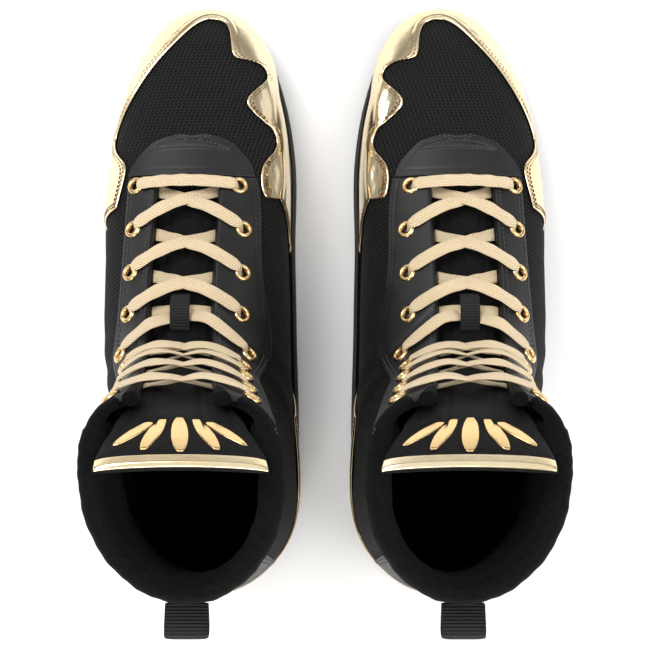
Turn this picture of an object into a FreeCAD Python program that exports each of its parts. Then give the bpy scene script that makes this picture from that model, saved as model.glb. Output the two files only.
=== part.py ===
import FreeCAD, Part
import math
import os
from FreeCAD import Vector

# A pair of high lace-up boxing boots, in millimetres, +Z up.
# The origin lies on the floor midway between the two boots, the toes point to -Y, and the left boot is at +X.
# Every piece is built for the left boot, and the right boot is its mirror image in X.

# ---------------------------------------------------------------- driving dimensions
RIM_U = 297.0              # station where the collar ends at the sides
RIM_FRONT_U = 282.0        # station where the collar ends beside the throat
RIM_REAR_DROP = 3.0        # how much lower the collar is at the back
VAMP_END_U = 109.0         # station where the vamp ends and the throat begins
SEAM_ANGLE = 134.0         # angle of the seams between the side linings and the heel lining
PANEL_GAP = 0.3            # gap between neighbouring panels of one boot

LINING = (-3.6, -2.3)      # depths of the layers below (-) or above (+) the textile's outer face
STIFFENER = (-2.1, -1.3)
TEXTILE = (-1.1, 0.0)
OVERLAY = (0.7, 1.5)
FACING = (-2.2, 1.1)
TONGUE = (-10.2, -5.6)
PADDING = (-9.0, -4.3)

THROAT_HALF = 15.5         # half of the gap between the two facings
BOARD_Z = (9.8, 11.4)      # lasting board
FOOTBED_Z = (11.6, 15.6)
MIDSOLE_Z = (6.4, 9.6)
FEATHER_Z = 12.2           # lowest edge of the upper
SOLE_MARGIN = 2.0          # how far the outsole stands out past the upper
TOE_MARGIN = 1.0           # how far it stands out round the toe
TOE_MARGIN_Y = (-125.0, -95.0)        # where that narrow margin ends, medial and lateral
CUP_CLEARANCE = 0.35
BALL_FLARE = 2.4           # extra width of the outsole at the outer ball
TOE_SPRING = 4.0
TREAD_DEPTH = 1.2

LACE_WIDTH = 6.6
LACE_THICK = 1.1
LACE_LIFT = 2.4            # height of the lace's middle above a facing, over the eyelet's ring
EYELET_RADIUS = 4.6
EYELET_HOLE = 2.4
EYELET_LIFT = 0.35         # gap below the ring, so that it clears the hollow of the instep
EYELET_ROWS = 9

TONGUE_LEAN = 35.0         # tilt of the tongue's top back from the vertical, in degrees
TONGUE_TOP_HEIGHT = 35.0
TONGUE_TOP_THICK = 4.6
HINGE = Vector(60.0, 54.5, 178.0)     # middle of the fold line across the tongue
HINGE_GAP = 1.8

LOOP_WIDTH = 18.5
LOOP_THICK = 1.6
LOOP_SHIFT = 2.0
LOOP_STANDOFF = 1.2

# The last: cross-sections from the tip of the toe to the collar. Each section is a plane through a front
# (upper) point and a back (lower) point, and its outline is a superellipse about the level between them.
# station, front y, front z, back y, back z, front x, back x, medial x, lateral x, level, exponents
LAST = (
    (0.0, -147.7, 15.0, -147.7, 15.0, 60.6, 60.6, 60.6, 60.6, 0.36, 2.0, 2.0),
    (12.3, -145.5, 25.0, -145.5, 9.5, 60.6, 60.6, 48.6, 72.6, 0.36, 2.0, 2.3),
    (23.0, -139.0, 32.0, -139.0, 9.0, 60.6, 60.6, 40.1, 81.1, 0.35, 2.1, 2.8),
    (37.0, -127.5, 38.5, -127.5, 8.8, 61.4, 61.4, 32.5, 90.2, 0.34, 2.25, 3.4),
    (51.0, -115.0, 43.0, -115.0, 8.6, 62.6, 62.4, 27.9, 97.0, 0.34, 2.35, 3.8),
    (77.0, -90.0, 50.0, -90.0, 8.5, 65.5, 64.0, 22.2, 105.5, 0.34, 2.3, 4.0),
    (106.0, -61.0, 60.5, -61.0, 8.5, 67.5, 64.5, 19.3, 110.2, 0.33, 2.2, 4.0),
    (134.0, -34.0, 72.5, -30.0, 8.5, 68.5, 65.0, 19.6, 111.5, 0.33, 2.1, 4.0),
    (167.0, -4.0, 87.0, 12.0, 9.0, 69.0, 64.5, 18.6, 111.3, 0.33, 2.1, 4.0),
    (192.0, 17.0, 98.5, 56.0, 10.0, 68.5, 62.0, 17.5, 109.0, 0.35, 2.2, 3.6),
    (210.0, 27.0, 110.5, 96.0, 10.5, 67.5, 57.5, 15.8, 104.0, 0.42, 2.4, 3.0),
    (223.0, 30.0, 121.5, 131.0, 11.0, 66.5, 54.5, 15.0, 99.5, 0.47, 2.55, 2.5),
    (233.0, 31.4, 131.0, 144.0, 23.0, 65.7, 54.0, 15.0, 97.2, 0.49, 2.7, 2.2),
    (245.0, 34.6, 142.0, 147.0, 50.0, 64.8, 54.0, 15.4, 96.0, 0.51, 2.8, 2.05),
    (261.0, 39.6, 157.0, 144.3, 88.0, 63.4, 54.5, 16.3, 96.3, 0.54, 3.0, 2.05),
    (277.0, 45.0, 171.5, 136.8, 130.0, 62.0, 55.5, 17.3, 97.3, 0.60, 3.1, 2.1),
    (291.0, 49.5, 185.5, 132.2, 168.0, 60.8, 57.0, 18.0, 98.6, 0.65, 3.1, 2.15),
    (303.0, 53.0, 197.5, 131.0, 197.0, 60.0, 57.5, 18.2, 99.2, 0.68, 3.1, 2.2),
)

# Eyelet rows, from the toe up: station, medial x, lateral x.
EYELETS = (
    (114.0, 43.0, 94.0),
    (137.0, 40.5, 94.0),
    (160.0, 40.5, 94.0),
    (181.0, 40.5, 94.0),
    (203.0, 36.5, 96.0),
    (217.0, 38.5, 92.0),
    (236.5, 36.0, 91.5),
    (255.5, 33.5, 90.5),
    (274.5, 31.0, 89.5),
)

# Outer edge of each facing: station, medial angle, lateral angle in degrees from the front.
FACING_EDGE = (
    (105.0, 41.0, 41.0),
    (123.0, 46.0, 41.0),
    (166.0, 49.5, 41.0),
    (189.0, 54.0, 44.0),
    (203.0, 51.0, 47.0),
    (219.0, 46.0, 46.0),
    (240.0, 50.5, 51.5),
    (270.0, 59.0, 60.0),
    (297.0, 68.0, 68.0),
)

# Front edge of the bib: station, angle.
BIB_EDGE = ((87.3, 8.0), (89.0, 18.0), (93.5, 29.0), (100.5, 37.0), (109.0, 41.5))

# Upper edge of the toe overlay from the lateral end round the toe to the medial end: station, angle,
# and the station of the point below it on the sole's edge.
OVERLAY_EDGE = (
    (124.5, 49.0, 141.0),
    (106.0, 43.5, 124.0),
    (98.0, 51.5, 103.0),
    (89.5, 67.0, 90.0),
    (82.0, 67.5, 81.0),
    (66.0, 55.0, 64.0),
    (51.0, 45.5, 48.0),
    (36.0, 34.0, 32.0),
    (24.5, 21.0, 17.0),
    (18.5, 2.0, 4.0),
    (19.5, -21.0, -14.0),
    (27.0, -27.5, -25.0),
    (40.0, -25.5, -38.0),
    (45.0, -32.0, -43.5),
    (46.5, -47.0, -47.0),
    (51.5, -58.5, -51.5),
    (59.0, -48.5, -59.0),
    (67.5, -35.5, -67.5),
    (76.0, -41.5, -76.0),
    (87.0, -57.5, -87.0),
    (97.0, -51.5, -97.0),
    (105.5, -44.6, -105.0),
    (118.0, -47.2, -113.0),
    (118.3, -56.0, -122.0),
    (122.0, -66.0, -130.0),
    (130.0, -80.0, -137.0),
    (138.0, -98.0, -144.0),
)


# ---------------------------------------------------------------- smooth functions of the last
def make_spline(xs, ys, flat_start):
    """Cubic spline through the points, natural at its ends or level at its start."""
    count = len(xs)
    lower, diagonal, upper, right = [0.0], [1.0], [0.0], [0.0]
    if flat_start:
        step = xs[1] - xs[0]
        diagonal, upper = [2.0 * step], [step]
        right = [6.0 * (ys[1] - ys[0]) / step]
    for i in range(1, count - 1):
        before, after = xs[i] - xs[i - 1], xs[i + 1] - xs[i]
        lower.append(before)
        diagonal.append(2.0 * (before + after))
        upper.append(after)
        right.append(6.0 * ((ys[i + 1] - ys[i]) / after - (ys[i] - ys[i - 1]) / before))
    lower.append(0.0)
    diagonal.append(1.0)
    upper.append(0.0)
    right.append(0.0)
    for i in range(1, count):
        factor = lower[i] / diagonal[i - 1]
        diagonal[i] -= factor * upper[i - 1]
        right[i] -= factor * right[i - 1]
    bend = [0.0] * count
    bend[-1] = right[-1] / diagonal[-1]
    for i in range(count - 2, -1, -1):
        bend[i] = (right[i] - upper[i] * bend[i + 1]) / diagonal[i]

    def value(x):
        i = 0
        while i < count - 2 and x > xs[i + 1]:
            i += 1
        step = xs[i + 1] - xs[i]
        a, b = (xs[i + 1] - x) / step, (x - xs[i]) / step
        curve = (a ** 3 - a) * bend[i] + (b ** 3 - b) * bend[i + 1]
        return a * ys[i] + b * ys[i + 1] + curve * step * step / 6.0

    return value


STATIONS = [row[0] for row in LAST]
LEVEL_COLUMNS = (1, 3)
CURVES = [make_spline(STATIONS, [row[c] for row in LAST], c in LEVEL_COLUMNS) for c in range(1, 12)]


def section_point(u, angle):
    """Point of the last at station u. The angle is 0 at the front, 90 degrees on the lateral side."""
    fy, fz, by, bz, fx, bx, medial, lateral, level, n_front, n_back = [curve(u) for curve in CURVES]
    cosine, sine = math.cos(angle), math.sin(angle)
    power = n_front * (1.0 + cosine) / 2.0 + n_back * (1.0 - cosine) / 2.0
    grow = (abs(cosine) ** power + abs(sine) ** power) ** (-1.0 / power)
    run = 0.5 + (0.5 - level) * cosine
    along = level + run * cosine * grow
    middle = bx + (fx - bx) * level
    width = (lateral - medial) / 2.0 + ((lateral + medial) / 2.0 - middle) * sine
    x = bx + (fx - bx) * along + width * sine * grow
    return Vector(x, by + (fy - by) * along, bz + (fz - bz) * along)


def section_middle(u):
    """Middle of the section, inside the boot."""
    fy, fz, by, bz, fx, bx, medial, lateral, level, n_front, n_back = [curve(u) for curve in CURVES]
    return Vector((lateral + medial) / 2.0, (fy + by) / 2.0, (fz + bz) / 2.0)


def outward(u, angle):
    """Unit normal of the last, pointing out."""
    du, da = 0.2, 0.004
    along = section_point(u + du, angle) - section_point(max(u - du, 0.05), angle)
    around = section_point(u, angle + da) - section_point(u, angle - da)
    normal = along.cross(around)
    normal.normalize()
    if normal.dot(section_point(u, angle) - section_middle(u)) < 0:
        normal = normal * -1.0
    return normal


def skin(u, angle, depth):
    """Point at a depth above (+) or below (-) the textile's outer face."""
    return section_point(u, angle) + outward(u, angle) * depth


def solve(test, low, high):
    """Root of a function that is positive at low and negative at high."""
    for _ in range(30):
        middle = (low + high) / 2.0
        if test(middle) > 0:
            low = middle
        else:
            high = middle
    return (low + high) / 2.0


def angle_at_x(u, x):
    """Angle on the front half of a section where it passes through x."""
    side = 1.0 if x > CURVES[4](u) else -1.0
    return side * solve(lambda a: side * (x - section_point(u, side * a).x), 0.0, math.radians(90))


def angle_at_z(u, side, z, depth=0.0):
    """Angle on the lower half of a section where it comes down to height z."""
    return solve(lambda a: skin(u, side * a, depth).z - z, math.radians(80), math.radians(178))


def smooth_step(x):
    x = min(max(x, 0.0), 1.0)
    return x * x * (3.0 - 2.0 * x)


def rim(angle):
    """Station of the collar's top edge, which drops towards the throat."""
    turn = abs(math.degrees(angle))
    turn = min(turn, 360.0 - turn)
    height = RIM_FRONT_U + (RIM_U - RIM_FRONT_U) * smooth_step((turn - 30.0) / 55.0)
    return height - RIM_REAR_DROP * smooth_step((turn - 100.0) / 80.0)


def throat_angle(u, side, extra=0.0):
    return angle_at_x(u, CURVES[4](u) + side * (THROAT_HALF + extra))


# ---------------------------------------------------------------- solids between two surfaces
def slab(lower, upper, rows, columns):
    """Closed solid between two surfaces, each a function of (s, t) from 0 to 1."""
    surfaces = []
    for surface in (lower, upper):
        grid = [[surface(i / (rows - 1.0), j / (columns - 1.0)) for j in range(columns)] for i in range(rows)]
        spline = Part.BSplineSurface()
        spline.interpolate(grid)
        surfaces.append(spline)
    one, two = surfaces
    u0, u1, v0, v1 = one.bounds()
    p0, p1, q0, q1 = two.bounds()
    faces = [one.toShape(), two.toShape()]
    pairs = ((one.uIso(u0), two.uIso(p0)), (one.uIso(u1), two.uIso(p1)),
             (one.vIso(v0), two.vIso(q0)), (one.vIso(v1), two.vIso(q1)))
    for a, b in pairs:
        faces.append(Part.makeRuledSurface(a.toShape(), b.toShape()))
    shell = Part.Compound(faces)
    shell.sewShape()
    solid = Part.Solid(shell.Shells[0] if shell.Shells else shell)
    if solid.Volume < 0:
        solid.reverse()
    return solid


def panel(place, layer, rows, columns):
    """Slab of one layer: place gives (station, angle) from (s, t)."""
    def face(depth):
        def point(s, t):
            u, angle = place(s, t)
            return skin(u, angle, depth)
        return point
    return slab(face(layer[0]), face(layer[1]), rows, columns)


def mix(a, b, t):
    return a + (b - a) * t


# ---------------------------------------------------------------- outlines of the sole
def cup_height(u):
    """Height of the outsole's rim round the foot."""
    return 19.5 - 2.5 * smooth_step(u / 80.0) + 7.0 * smooth_step((u - 170.0) / 50.0)


def foot_outline(height, depth, count=30):
    """Closed ring of points where the last passes a height, lateral side first."""
    z_mid = height(0.0)
    toe = solve(lambda u: skin(u, math.pi, depth).z - z_mid, 1.5, 14.0)
    heel = solve(lambda u: z_mid + height(230.0) - height(0.0) - skin(u, math.pi, depth).z, 215.0, 245.0)
    ring = []
    for side in (1.0, -1.0):
        half = []
        for i in range(count):
            u = mix(toe, heel, (1.0 - math.cos(math.pi * (i + 0.5) / count)) / 2.0)
            half.append(skin(u, angle_at_z(u, side, height(u), depth) * side, depth))
        ring += half if side > 0 else half[::-1]
    return ring


def flat_face(points, z):
    """Planar face inside a smooth closed curve through the points."""
    curve = Part.BSplineCurve()
    curve.interpolate([Vector(p.x, p.y, z) for p in points], PeriodicFlag=True)
    return Part.Face(Part.Wire(curve.toShape()))


def grown(points, amount):
    """Ring of points moved outwards by amount(point, outward direction)."""
    count = len(points)
    moved = []
    for i, p in enumerate(points):
        tangent = points[(i + 1) % count] - points[i - 1]
        normal = Vector(tangent.y, -tangent.x, 0)
        normal.normalize()
        if normal.dot(p - Vector(62.0, p.y * 0.8, p.z)) < 0:
            normal = normal * -1.0
        moved.append(p + normal * amount(p, normal))
    return moved


def prism(points, low, high):
    """Upright solid inside a smooth closed outline."""
    return flat_face(points, low).extrude(Vector(0, 0, high - low))


def side_profile(points):
    """Solid that fills a side-view outline (pairs of y, z) across one boot."""
    corners = [Vector(5.0, y, z) for y, z in points]
    wire = Part.makePolygon(corners + corners[:1])
    return Part.Face(wire).extrude(Vector(120.0, 0, 0))


# ---------------------------------------------------------------- sole
def cup_walls():
    """Outlines of the outsole's outside and of the cup that holds the upper."""
    def height(u):
        return min(cup_height(u), CURVES[3](u) + 22.0)

    def margin(point, normal):
        flare = BALL_FLARE * math.exp(-((point.y + 25.0) / 50.0) ** 2)
        start = TOE_MARGIN_Y[1] if normal.x > 0 else TOE_MARGIN_Y[0]
        full = SOLE_MARGIN + (flare if normal.x > 0.5 else 0.0)
        return mix(TOE_MARGIN, full, smooth_step((point.y - start) / 35.0))

    cup = grown(foot_outline(height, OVERLAY[1]), lambda p, n: CUP_CLEARANCE)
    return cup, grown(cup, margin)


def outsole(cup, outside):
    """Rubber cup: flat from the heel to the ball, sprung up at the toe, with grooves across its tread."""
    body = prism(outside, -1.0, 40.0)
    heel_y, toe_y, ball_y = 160.0, -160.0, -92.0
    spring = [(toe_y + (ball_y - toe_y) * i / 8.0, TOE_SPRING * 1.25 * (1.0 - i / 8.0) ** 2) for i in range(9)]
    rim_line = [(CURVES[2](u), cup_height(u)) for u in (236.0, 225.0, 215.0, 205.0, 190.0, 170.0, 60.0, 30.0)]
    top = [(heel_y, cup_height(240.0))] + rim_line + [(toe_y, cup_height(0.0))]
    body = body.common(side_profile(spring + [(heel_y, 0.0)] + top))
    body = body.cut(prism(cup, MIDSOLE_Z[0], 60.0))
    grooves = []
    for i in range(9):
        grooves.append(Part.makeBox(120.0, 2.2, 10.0, Vector(5.0, -112.0 + 14.0 * i, TREAD_DEPTH - 10.0)))
    for i in range(5):
        grooves.append(Part.makeBox(120.0, 2.2, 10.0, Vector(5.0, 78.0 + 12.0 * i, TREAD_DEPTH - 10.0)))
    return body.cut(Part.Compound(grooves))


def midsole(cup):
    return prism(grown(cup, lambda p, n: -0.3), MIDSOLE_Z[0], MIDSOLE_Z[1])


def board_outline(z, depth):
    return foot_outline(lambda u: z, depth)


def lasting_board():
    return prism(board_outline(BOARD_Z[1] + 2.0, TEXTILE[0]), BOARD_Z[0], BOARD_Z[1])


def footbed():
    return prism(board_outline(FOOTBED_Z[0] + 2.4, LINING[0] - 0.5), FOOTBED_Z[0], FOOTBED_Z[1])


# ---------------------------------------------------------------- linings and stiffeners
def lower_edge(u, side, z=FEATHER_Z):
    """Angle of the upper's lower edge, where it meets the sole."""
    return side * min(angle_at_z(u, 1.0 * side, z), math.radians(177))


def vamp_panel(layer, start, end, spread):
    """Part of the vamp; spread(u, side) is the angle of its edge."""
    def place(s, t):
        u = mix(start, end, s)
        side = 1.0 if t > 0.5 else -1.0
        return u, spread(u, side) * abs(2.0 * t - 1.0)
    return panel(place, layer, 26, 25)


def vamp_lining():
    return vamp_panel(LINING, 1.5, VAMP_END_U, lower_edge)


def toe_puff():
    return vamp_panel(STIFFENER, 1.5, 34.0, lower_edge)


def side_panel(layer, inner, outer, start, end, rows, columns):
    """Panel on one side of the boot, from an inner to an outer angle; its top follows the collar's rim."""
    def place(s, t):
        u = mix(start, end, s)
        angle = mix(inner(u), outer(u), t)
        return u - (RIM_U - rim(angle)) * s ** 4, angle
    return panel(place, layer, rows, columns)


def lining_edge(u, side):
    """Back edge of a side lining: the feather edge, then the seam beside the heel lining."""
    seam = math.radians(SEAM_ANGLE)
    return side * min(abs(lower_edge(u, side)), seam) if u < 222.0 else side * seam


def side_lining(side):
    inner = lambda u: throat_angle(u, side)
    outer = lambda u: lining_edge(u, side)
    return side_panel(LINING, inner, outer, VAMP_END_U + PANEL_GAP, RIM_U, 40, 18)


def back_panel(layer, low_z, margin=0.5, top=None):
    """Panel round the back of the boot between the two seams, from a lowest height up to the rim."""
    def place(s, t):
        angle = math.radians(mix(SEAM_ANGLE + margin, 360.0 - SEAM_ANGLE - margin, t))
        folded = angle if angle <= math.pi else angle - 2.0 * math.pi
        low = solve(lambda u: low_z - section_point(u, folded).z, 160.0, 280.0)
        return mix(low, top if top else rim(folded), s), angle
    return panel(place, layer, 24, 40)


def heel_lining():
    return back_panel(LINING, FEATHER_Z + 0.2)


def heel_counter():
    return back_panel(STIFFENER, FEATHER_Z + 0.2, 0.5, 262.0)


# ---------------------------------------------------------------- outer panels
def vamp_mesh():
    """Mesh over the toes; it runs on under the toe overlay."""
    return vamp_panel(TEXTILE, 6.0, BIB_EDGE[0][0] - PANEL_GAP, lower_edge)


BIB_CURVE = make_spline([row[0] for row in BIB_EDGE], [math.radians(row[1]) for row in BIB_EDGE], False)


def throat_bib():
    """Smooth tab that joins the two facings in front of the throat."""
    return vamp_panel(FACING, BIB_EDGE[0][0], VAMP_END_U, lambda u, side: side * BIB_CURVE(u))


def vamp_side(side):
    """Mesh beside the bib, down to the sole."""
    inner = lambda u: side * (BIB_CURVE(u) + math.radians(0.6))
    return side_panel(TEXTILE, inner, lambda u: lower_edge(u, side), BIB_EDGE[0][0], VAMP_END_U, 16, 10)


EDGE_STEPS = [float(i) for i in range(len(OVERLAY_EDGE))]
OVERLAY_CURVES = [make_spline(EDGE_STEPS, [row[c] for row in OVERLAY_EDGE], False) for c in range(3)]


def toe_overlay():
    """Foil mudguard: a band round the toe between the sole and the mesh window.

    Near the tip of the toe the band is spanned in a flat map about the tip, and further back by station
    and angle."""
    def place(s, t):
        step = s * EDGE_STEPS[-1]
        top_u, top_angle = OVERLAY_CURVES[0](step), math.radians(OVERLAY_CURVES[1](step))
        foot = OVERLAY_CURVES[2](step)
        low_u = math.hypot(foot, 1.7)
        side = 1.0 if foot > 0 else -1.0
        low_angle = side * mix(math.pi, abs(lower_edge(low_u, side, 14.5)), smooth_step(abs(foot) / 12.0))
        p = mix(low_u * math.cos(low_angle), top_u * math.cos(top_angle), t)
        q = mix(low_u * math.sin(low_angle), top_u * math.sin(top_angle), t)
        near_u, near_angle = max(math.hypot(p, q), 0.6), math.atan2(q, p)
        away = smooth_step((abs(foot) - 8.0) / 22.0)
        if away == 0.0:
            return near_u, near_angle
        return mix(near_u, mix(low_u, top_u, t), away), mix(near_angle, mix(low_angle, top_angle, t), away)
    return panel(place, OVERLAY, 135, 21)


FACING_CURVES = {-1.0: make_spline([r[0] for r in FACING_EDGE], [math.radians(r[1]) for r in FACING_EDGE], False),
                 1.0: make_spline([r[0] for r in FACING_EDGE], [math.radians(r[2]) for r in FACING_EDGE], False)}


def facing(side):
    """Eyelet panel that runs up the front of the shaft."""
    inner = lambda u: throat_angle(u, side)
    outer = lambda u: side * FACING_CURVES[side](u)
    return side_panel(FACING, inner, outer, VAMP_END_U + PANEL_GAP, RIM_U, 40, 14)


def quarter(side):
    """Mesh side of the boot between the facing, the sole and the rear seam."""
    inner = lambda u: side * (FACING_CURVES[side](u) + math.radians(0.5))
    outer = lambda u: lining_edge(u, side)
    return side_panel(TEXTILE, inner, outer, VAMP_END_U + PANEL_GAP, RIM_U, 40, 20)


def rear_panel():
    return back_panel(TEXTILE, FEATHER_Z + 0.2)


def heel_overlay():
    """Foil panel low round the heel, higher at the back than at its two ends."""
    low_z, ends, low_angle, high_angle = 14.5, 208.0, 129.0, 86.0

    def place(s, t):
        turn = mix(low_angle, 360.0 - low_angle, t)
        folded = math.radians(turn if turn <= 180.0 else turn - 360.0)
        low = solve(lambda u: low_z - section_point(u, folded).z, 160.0, 280.0)
        high = ends + 46.0 * math.sin(math.pi * t)
        high_turn = mix(high_angle, 360.0 - high_angle, t)
        return mix(low, high, s), math.radians(mix(turn, high_turn, s))
    return panel(place, OVERLAY, 24, 40)


# ---------------------------------------------------------------- collar
BINDING_START = 34.0       # angle where the binding begins beside the throat
PADDING_START = 51.0       # angle where the padding begins, clear of the tongue


def collar_ring(start, depth, below, above):
    """Band round the collar from an angle beside the throat; depth(angle in degrees) is its inner depth."""
    def ring(offset, s, t):
        turn = mix(start, 360.0 - start, t)
        angle = math.radians(turn if turn <= 180.0 else turn - 360.0)
        inner, outer = depth(min(turn, 360.0 - turn))
        return skin(rim(angle) + offset, angle, mix(inner, outer, s))
    return slab(lambda s, t: ring(below, s, t), lambda s, t: ring(above, s, t), 6, 60)


def collar_padding():
    """Foam in two halves that swell into the shaft below the binding and meet at the back seam."""
    halves = []
    for side in (1.0, -1.0):
        def place(s, t, side=side):
            angle = side * math.radians(mix(PADDING_START, 179.7, t))
            return rim(angle) - mix(26.0, 0.4, s), angle
        halves.append(panel(place, PADDING, 10, 30))
    return Part.Compound(halves)


def collar_binding():
    """Folded edge of the collar; it is thin beside the throat, where the tongue passes."""
    def depth(turn):
        return mix(-4.4, PADDING[0], smooth_step((turn - 46.0) / 20.0)), FACING[1]
    return collar_ring(BINDING_START, depth, 0.4, 2.6)


def shaft_tabs():
    """Two foil tabs inside the shaft, beside the tongue."""
    tabs = []
    for side in (1.0, -1.0):
        def place(s, t, side=side):
            return mix(238.0, 260.0, s), side * math.radians(mix(64.0, 84.0, t))
        tabs.append(panel(place, (-4.7, -3.8), 8, 8))
    return Part.Compound(tabs)


# ---------------------------------------------------------------- tongue
def tongue():
    """Padded tongue under the laces, from the vamp up to its fold line."""
    def place(s, t):
        u = mix(96.0, 279.0, s)
        half = mix(24.0, 30.0, smooth_step(s * 2.0)) - 4.0 * smooth_step((s - 0.8) * 5.0)
        return u, angle_at_x(u, CURVES[4](u) + (2.0 * t - 1.0) * half)
    return panel(place, TONGUE, 36, 15)


def tongue_top_point(across, up, depth):
    """Point on the folded-back top of the tongue: across from -1 to 1, up in millimetres."""
    lean = math.radians(TONGUE_LEAN)
    half = mix(26.0, 35.0, smooth_step(up / TONGUE_TOP_HEIGHT))
    x = across * half
    sag = 1.6 * across ** 2 - 1.5 * math.sin(math.pi * min(up / TONGUE_TOP_HEIGHT, 1.0))
    y = HINGE.y + up * math.sin(lean) + sag - depth * math.cos(lean)
    z = HINGE.z + up * math.cos(lean) + depth * math.sin(lean) - 0.35 * sag
    return Vector(HINGE.x - 3.5 * up / TONGUE_TOP_HEIGHT + x, y, z)


def tongue_slab(across, up, depths, rows=8, columns=15):
    def face(depth):
        return lambda s, t: tongue_top_point(mix(across[0], across[1], t), mix(up[0], up[1], s), depth)
    return slab(face(depths[0]), face(depths[1]), rows, columns)


def tongue_top():
    half = TONGUE_TOP_THICK / 2.0
    return tongue_slab((-1.0, 1.0), (HINGE_GAP, TONGUE_TOP_HEIGHT), (-half, half))


def tongue_trim():
    """Foil band along the tongue's upper edge."""
    half = TONGUE_TOP_THICK / 2.0
    return tongue_slab((-0.98, 0.98), (TONGUE_TOP_HEIGHT - 6.0, TONGUE_TOP_HEIGHT), (half + 0.1, half + 0.8))


def tongue_emblem():
    """Plain emblem: two slanted bars either side of an upright one."""
    half = TONGUE_TOP_THICK / 2.0
    depths = (half + 0.1, half + 0.7)
    bars = []
    for low, high, width, start, end in ((-0.62, -0.3, 0.2, 7.0, 24.0), (0.0, 0.0, 0.16, 10.0, 26.0),
                                         (0.62, 0.3, 0.2, 7.0, 24.0)):
        def face(depth, low=low, high=high, width=width, start=start, end=end):
            def point(s, t):
                middle = mix(low, high, s)
                return tongue_top_point(middle + (t - 0.5) * width, mix(start, end, s), depth)
            return point
        bars.append(slab(face(depths[0]), face(depths[1]), 6, 4))
    return Part.Compound(bars)


def lace_keeper():
    """Webbing loop down the middle of the tongue; the laces pass under it."""
    start, end = 169.5, 192.0

    def face(extra):
        def point(s, t):
            u = mix(start, end, s)
            rise = 6.3 * math.sin(math.pi * s) ** 0.5
            return skin(u, angle_at_x(u, CURVES[4](u) + (t - 0.5) * 9.4), TONGUE[1] + 0.1 + rise + extra)
        return point
    return slab(face(0.0), face(0.8), 13, 5)


# ---------------------------------------------------------------- eyelets and laces
def eyelet_place(row, side):
    """Station, angle and x of an eyelet; row counts from the toe."""
    u, medial, lateral = EYELETS[row]
    x = lateral if side > 0 else medial
    return u, angle_at_x(u, x), x


def eyelet_axis(row, side):
    u, angle, x = eyelet_place(row, side)
    return skin(u, angle, FACING[1]), outward(u, angle)


def tube(base, axis, outer, inner, length):
    return Part.makeCylinder(outer, length, base, axis).cut(Part.makeCylinder(inner, length, base, axis))


def eyelets():
    """Rolled metal rings on both facings, each with a short barrel through the panel."""
    rings = []
    for row in range(EYELET_ROWS):
        for side in (1.0, -1.0):
            centre, axis = eyelet_axis(row, side)
            flange = tube(centre + axis * EYELET_LIFT, axis, EYELET_RADIUS, EYELET_HOLE, 0.8)
            barrel = tube(centre - axis * 4.0, axis, EYELET_HOLE + 0.4, EYELET_HOLE, 4.2 + EYELET_LIFT)
            rings.append(flange.fuse(barrel))
    return Part.Compound(rings)


def with_holes(panel_solid, side):
    """A facing or lining with a hole at each eyelet."""
    drills = []
    for row in range(EYELET_ROWS):
        centre, axis = eyelet_axis(row, side)
        drills.append(Part.makeCylinder(EYELET_HOLE + 0.5, 12.0, centre - axis * 7.0, axis))
    return panel_solid.cut(Part.Compound(drills))


def ribbon(middle, half_width, rows=28):
    """Flat lace along middle(s), which gives a point, its normal and a width scale."""
    def face(lift):
        def point(s, t):
            centre, normal, narrow = middle(s)
            ahead = middle(min(s + 0.01, 1.0))[0] - middle(max(s - 0.01, 0.0))[0]
            across = normal.cross(ahead)
            across.normalize()
            return centre + across * ((2.0 * t - 1.0) * half_width * narrow) + normal * lift
        return point
    return slab(face(-LACE_THICK / 2.0), face(LACE_THICK / 2.0), rows, 4)


def lace_bar():
    """First lace, straight across the throat from eyelet to eyelet."""
    start, end = eyelet_place(0, -1.0), eyelet_place(0, 1.0)

    def middle(s):
        x = mix(start[2], end[2], s)
        u = mix(start[0], end[0], s)
        angle = angle_at_x(u, x)
        taper = smooth_step(min(s, 1.0 - s) / 0.12)
        return skin(u, angle, FACING[1] + LACE_LIFT), outward(u, angle), mix(0.55, 1.0, taper)
    return ribbon(middle, LACE_WIDTH / 2.0)


def lace_strand(row, side, on_top):
    """Lace from under one facing, across the throat and down into the next eyelet on the other side.

    It leaves the facing square and turns towards the next row on its way."""
    start, end = eyelet_place(row, -side), eyelet_place(row + 1, side)
    under = LINING[0] - 0.9
    keeper_row = 3

    def middle(s):
        x = mix(start[2], end[2], s)
        u = mix(start[0], end[0], (max(s - 0.08, 0.0) / 0.92) ** 1.45)
        if row == keeper_row:
            u -= 6.2 * math.sin(math.pi * s) ** 2
        angle = angle_at_x(u, x)
        offset = (x - CURVES[4](u)) * side
        climb = smooth_step((offset + THROAT_HALF + 1.0) / (2.0 * THROAT_HALF))
        if row == keeper_row:
            climb = smooth_step((offset - 2.0) / (THROAT_HALF - 3.0))
        lift = (0.72 if on_top else -0.72) * math.exp(-(offset / 9.0) ** 2)
        if row == keeper_row:
            lift += 0.4 * math.exp(-(offset / 9.0) ** 2)
        taper = smooth_step(min(s, 1.0 - s) / 0.12)
        depth = mix(under, FACING[1] + LACE_LIFT, climb) + lift
        return skin(u, angle, depth), outward(u, angle), mix(0.55, 1.0, taper)
    return ribbon(middle, LACE_WIDTH / 2.0)


def lace_drop(row, side):
    """Bunched lace inside an eyelet."""
    centre, axis = eyelet_axis(row, side)
    return Part.makeCylinder(1.8, 5.0, centre - axis * 4.9, axis).fuse(
        Part.makeCylinder(1.8, LACE_LIFT - LACE_THICK / 2.0 + 0.1, centre, axis))


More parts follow.
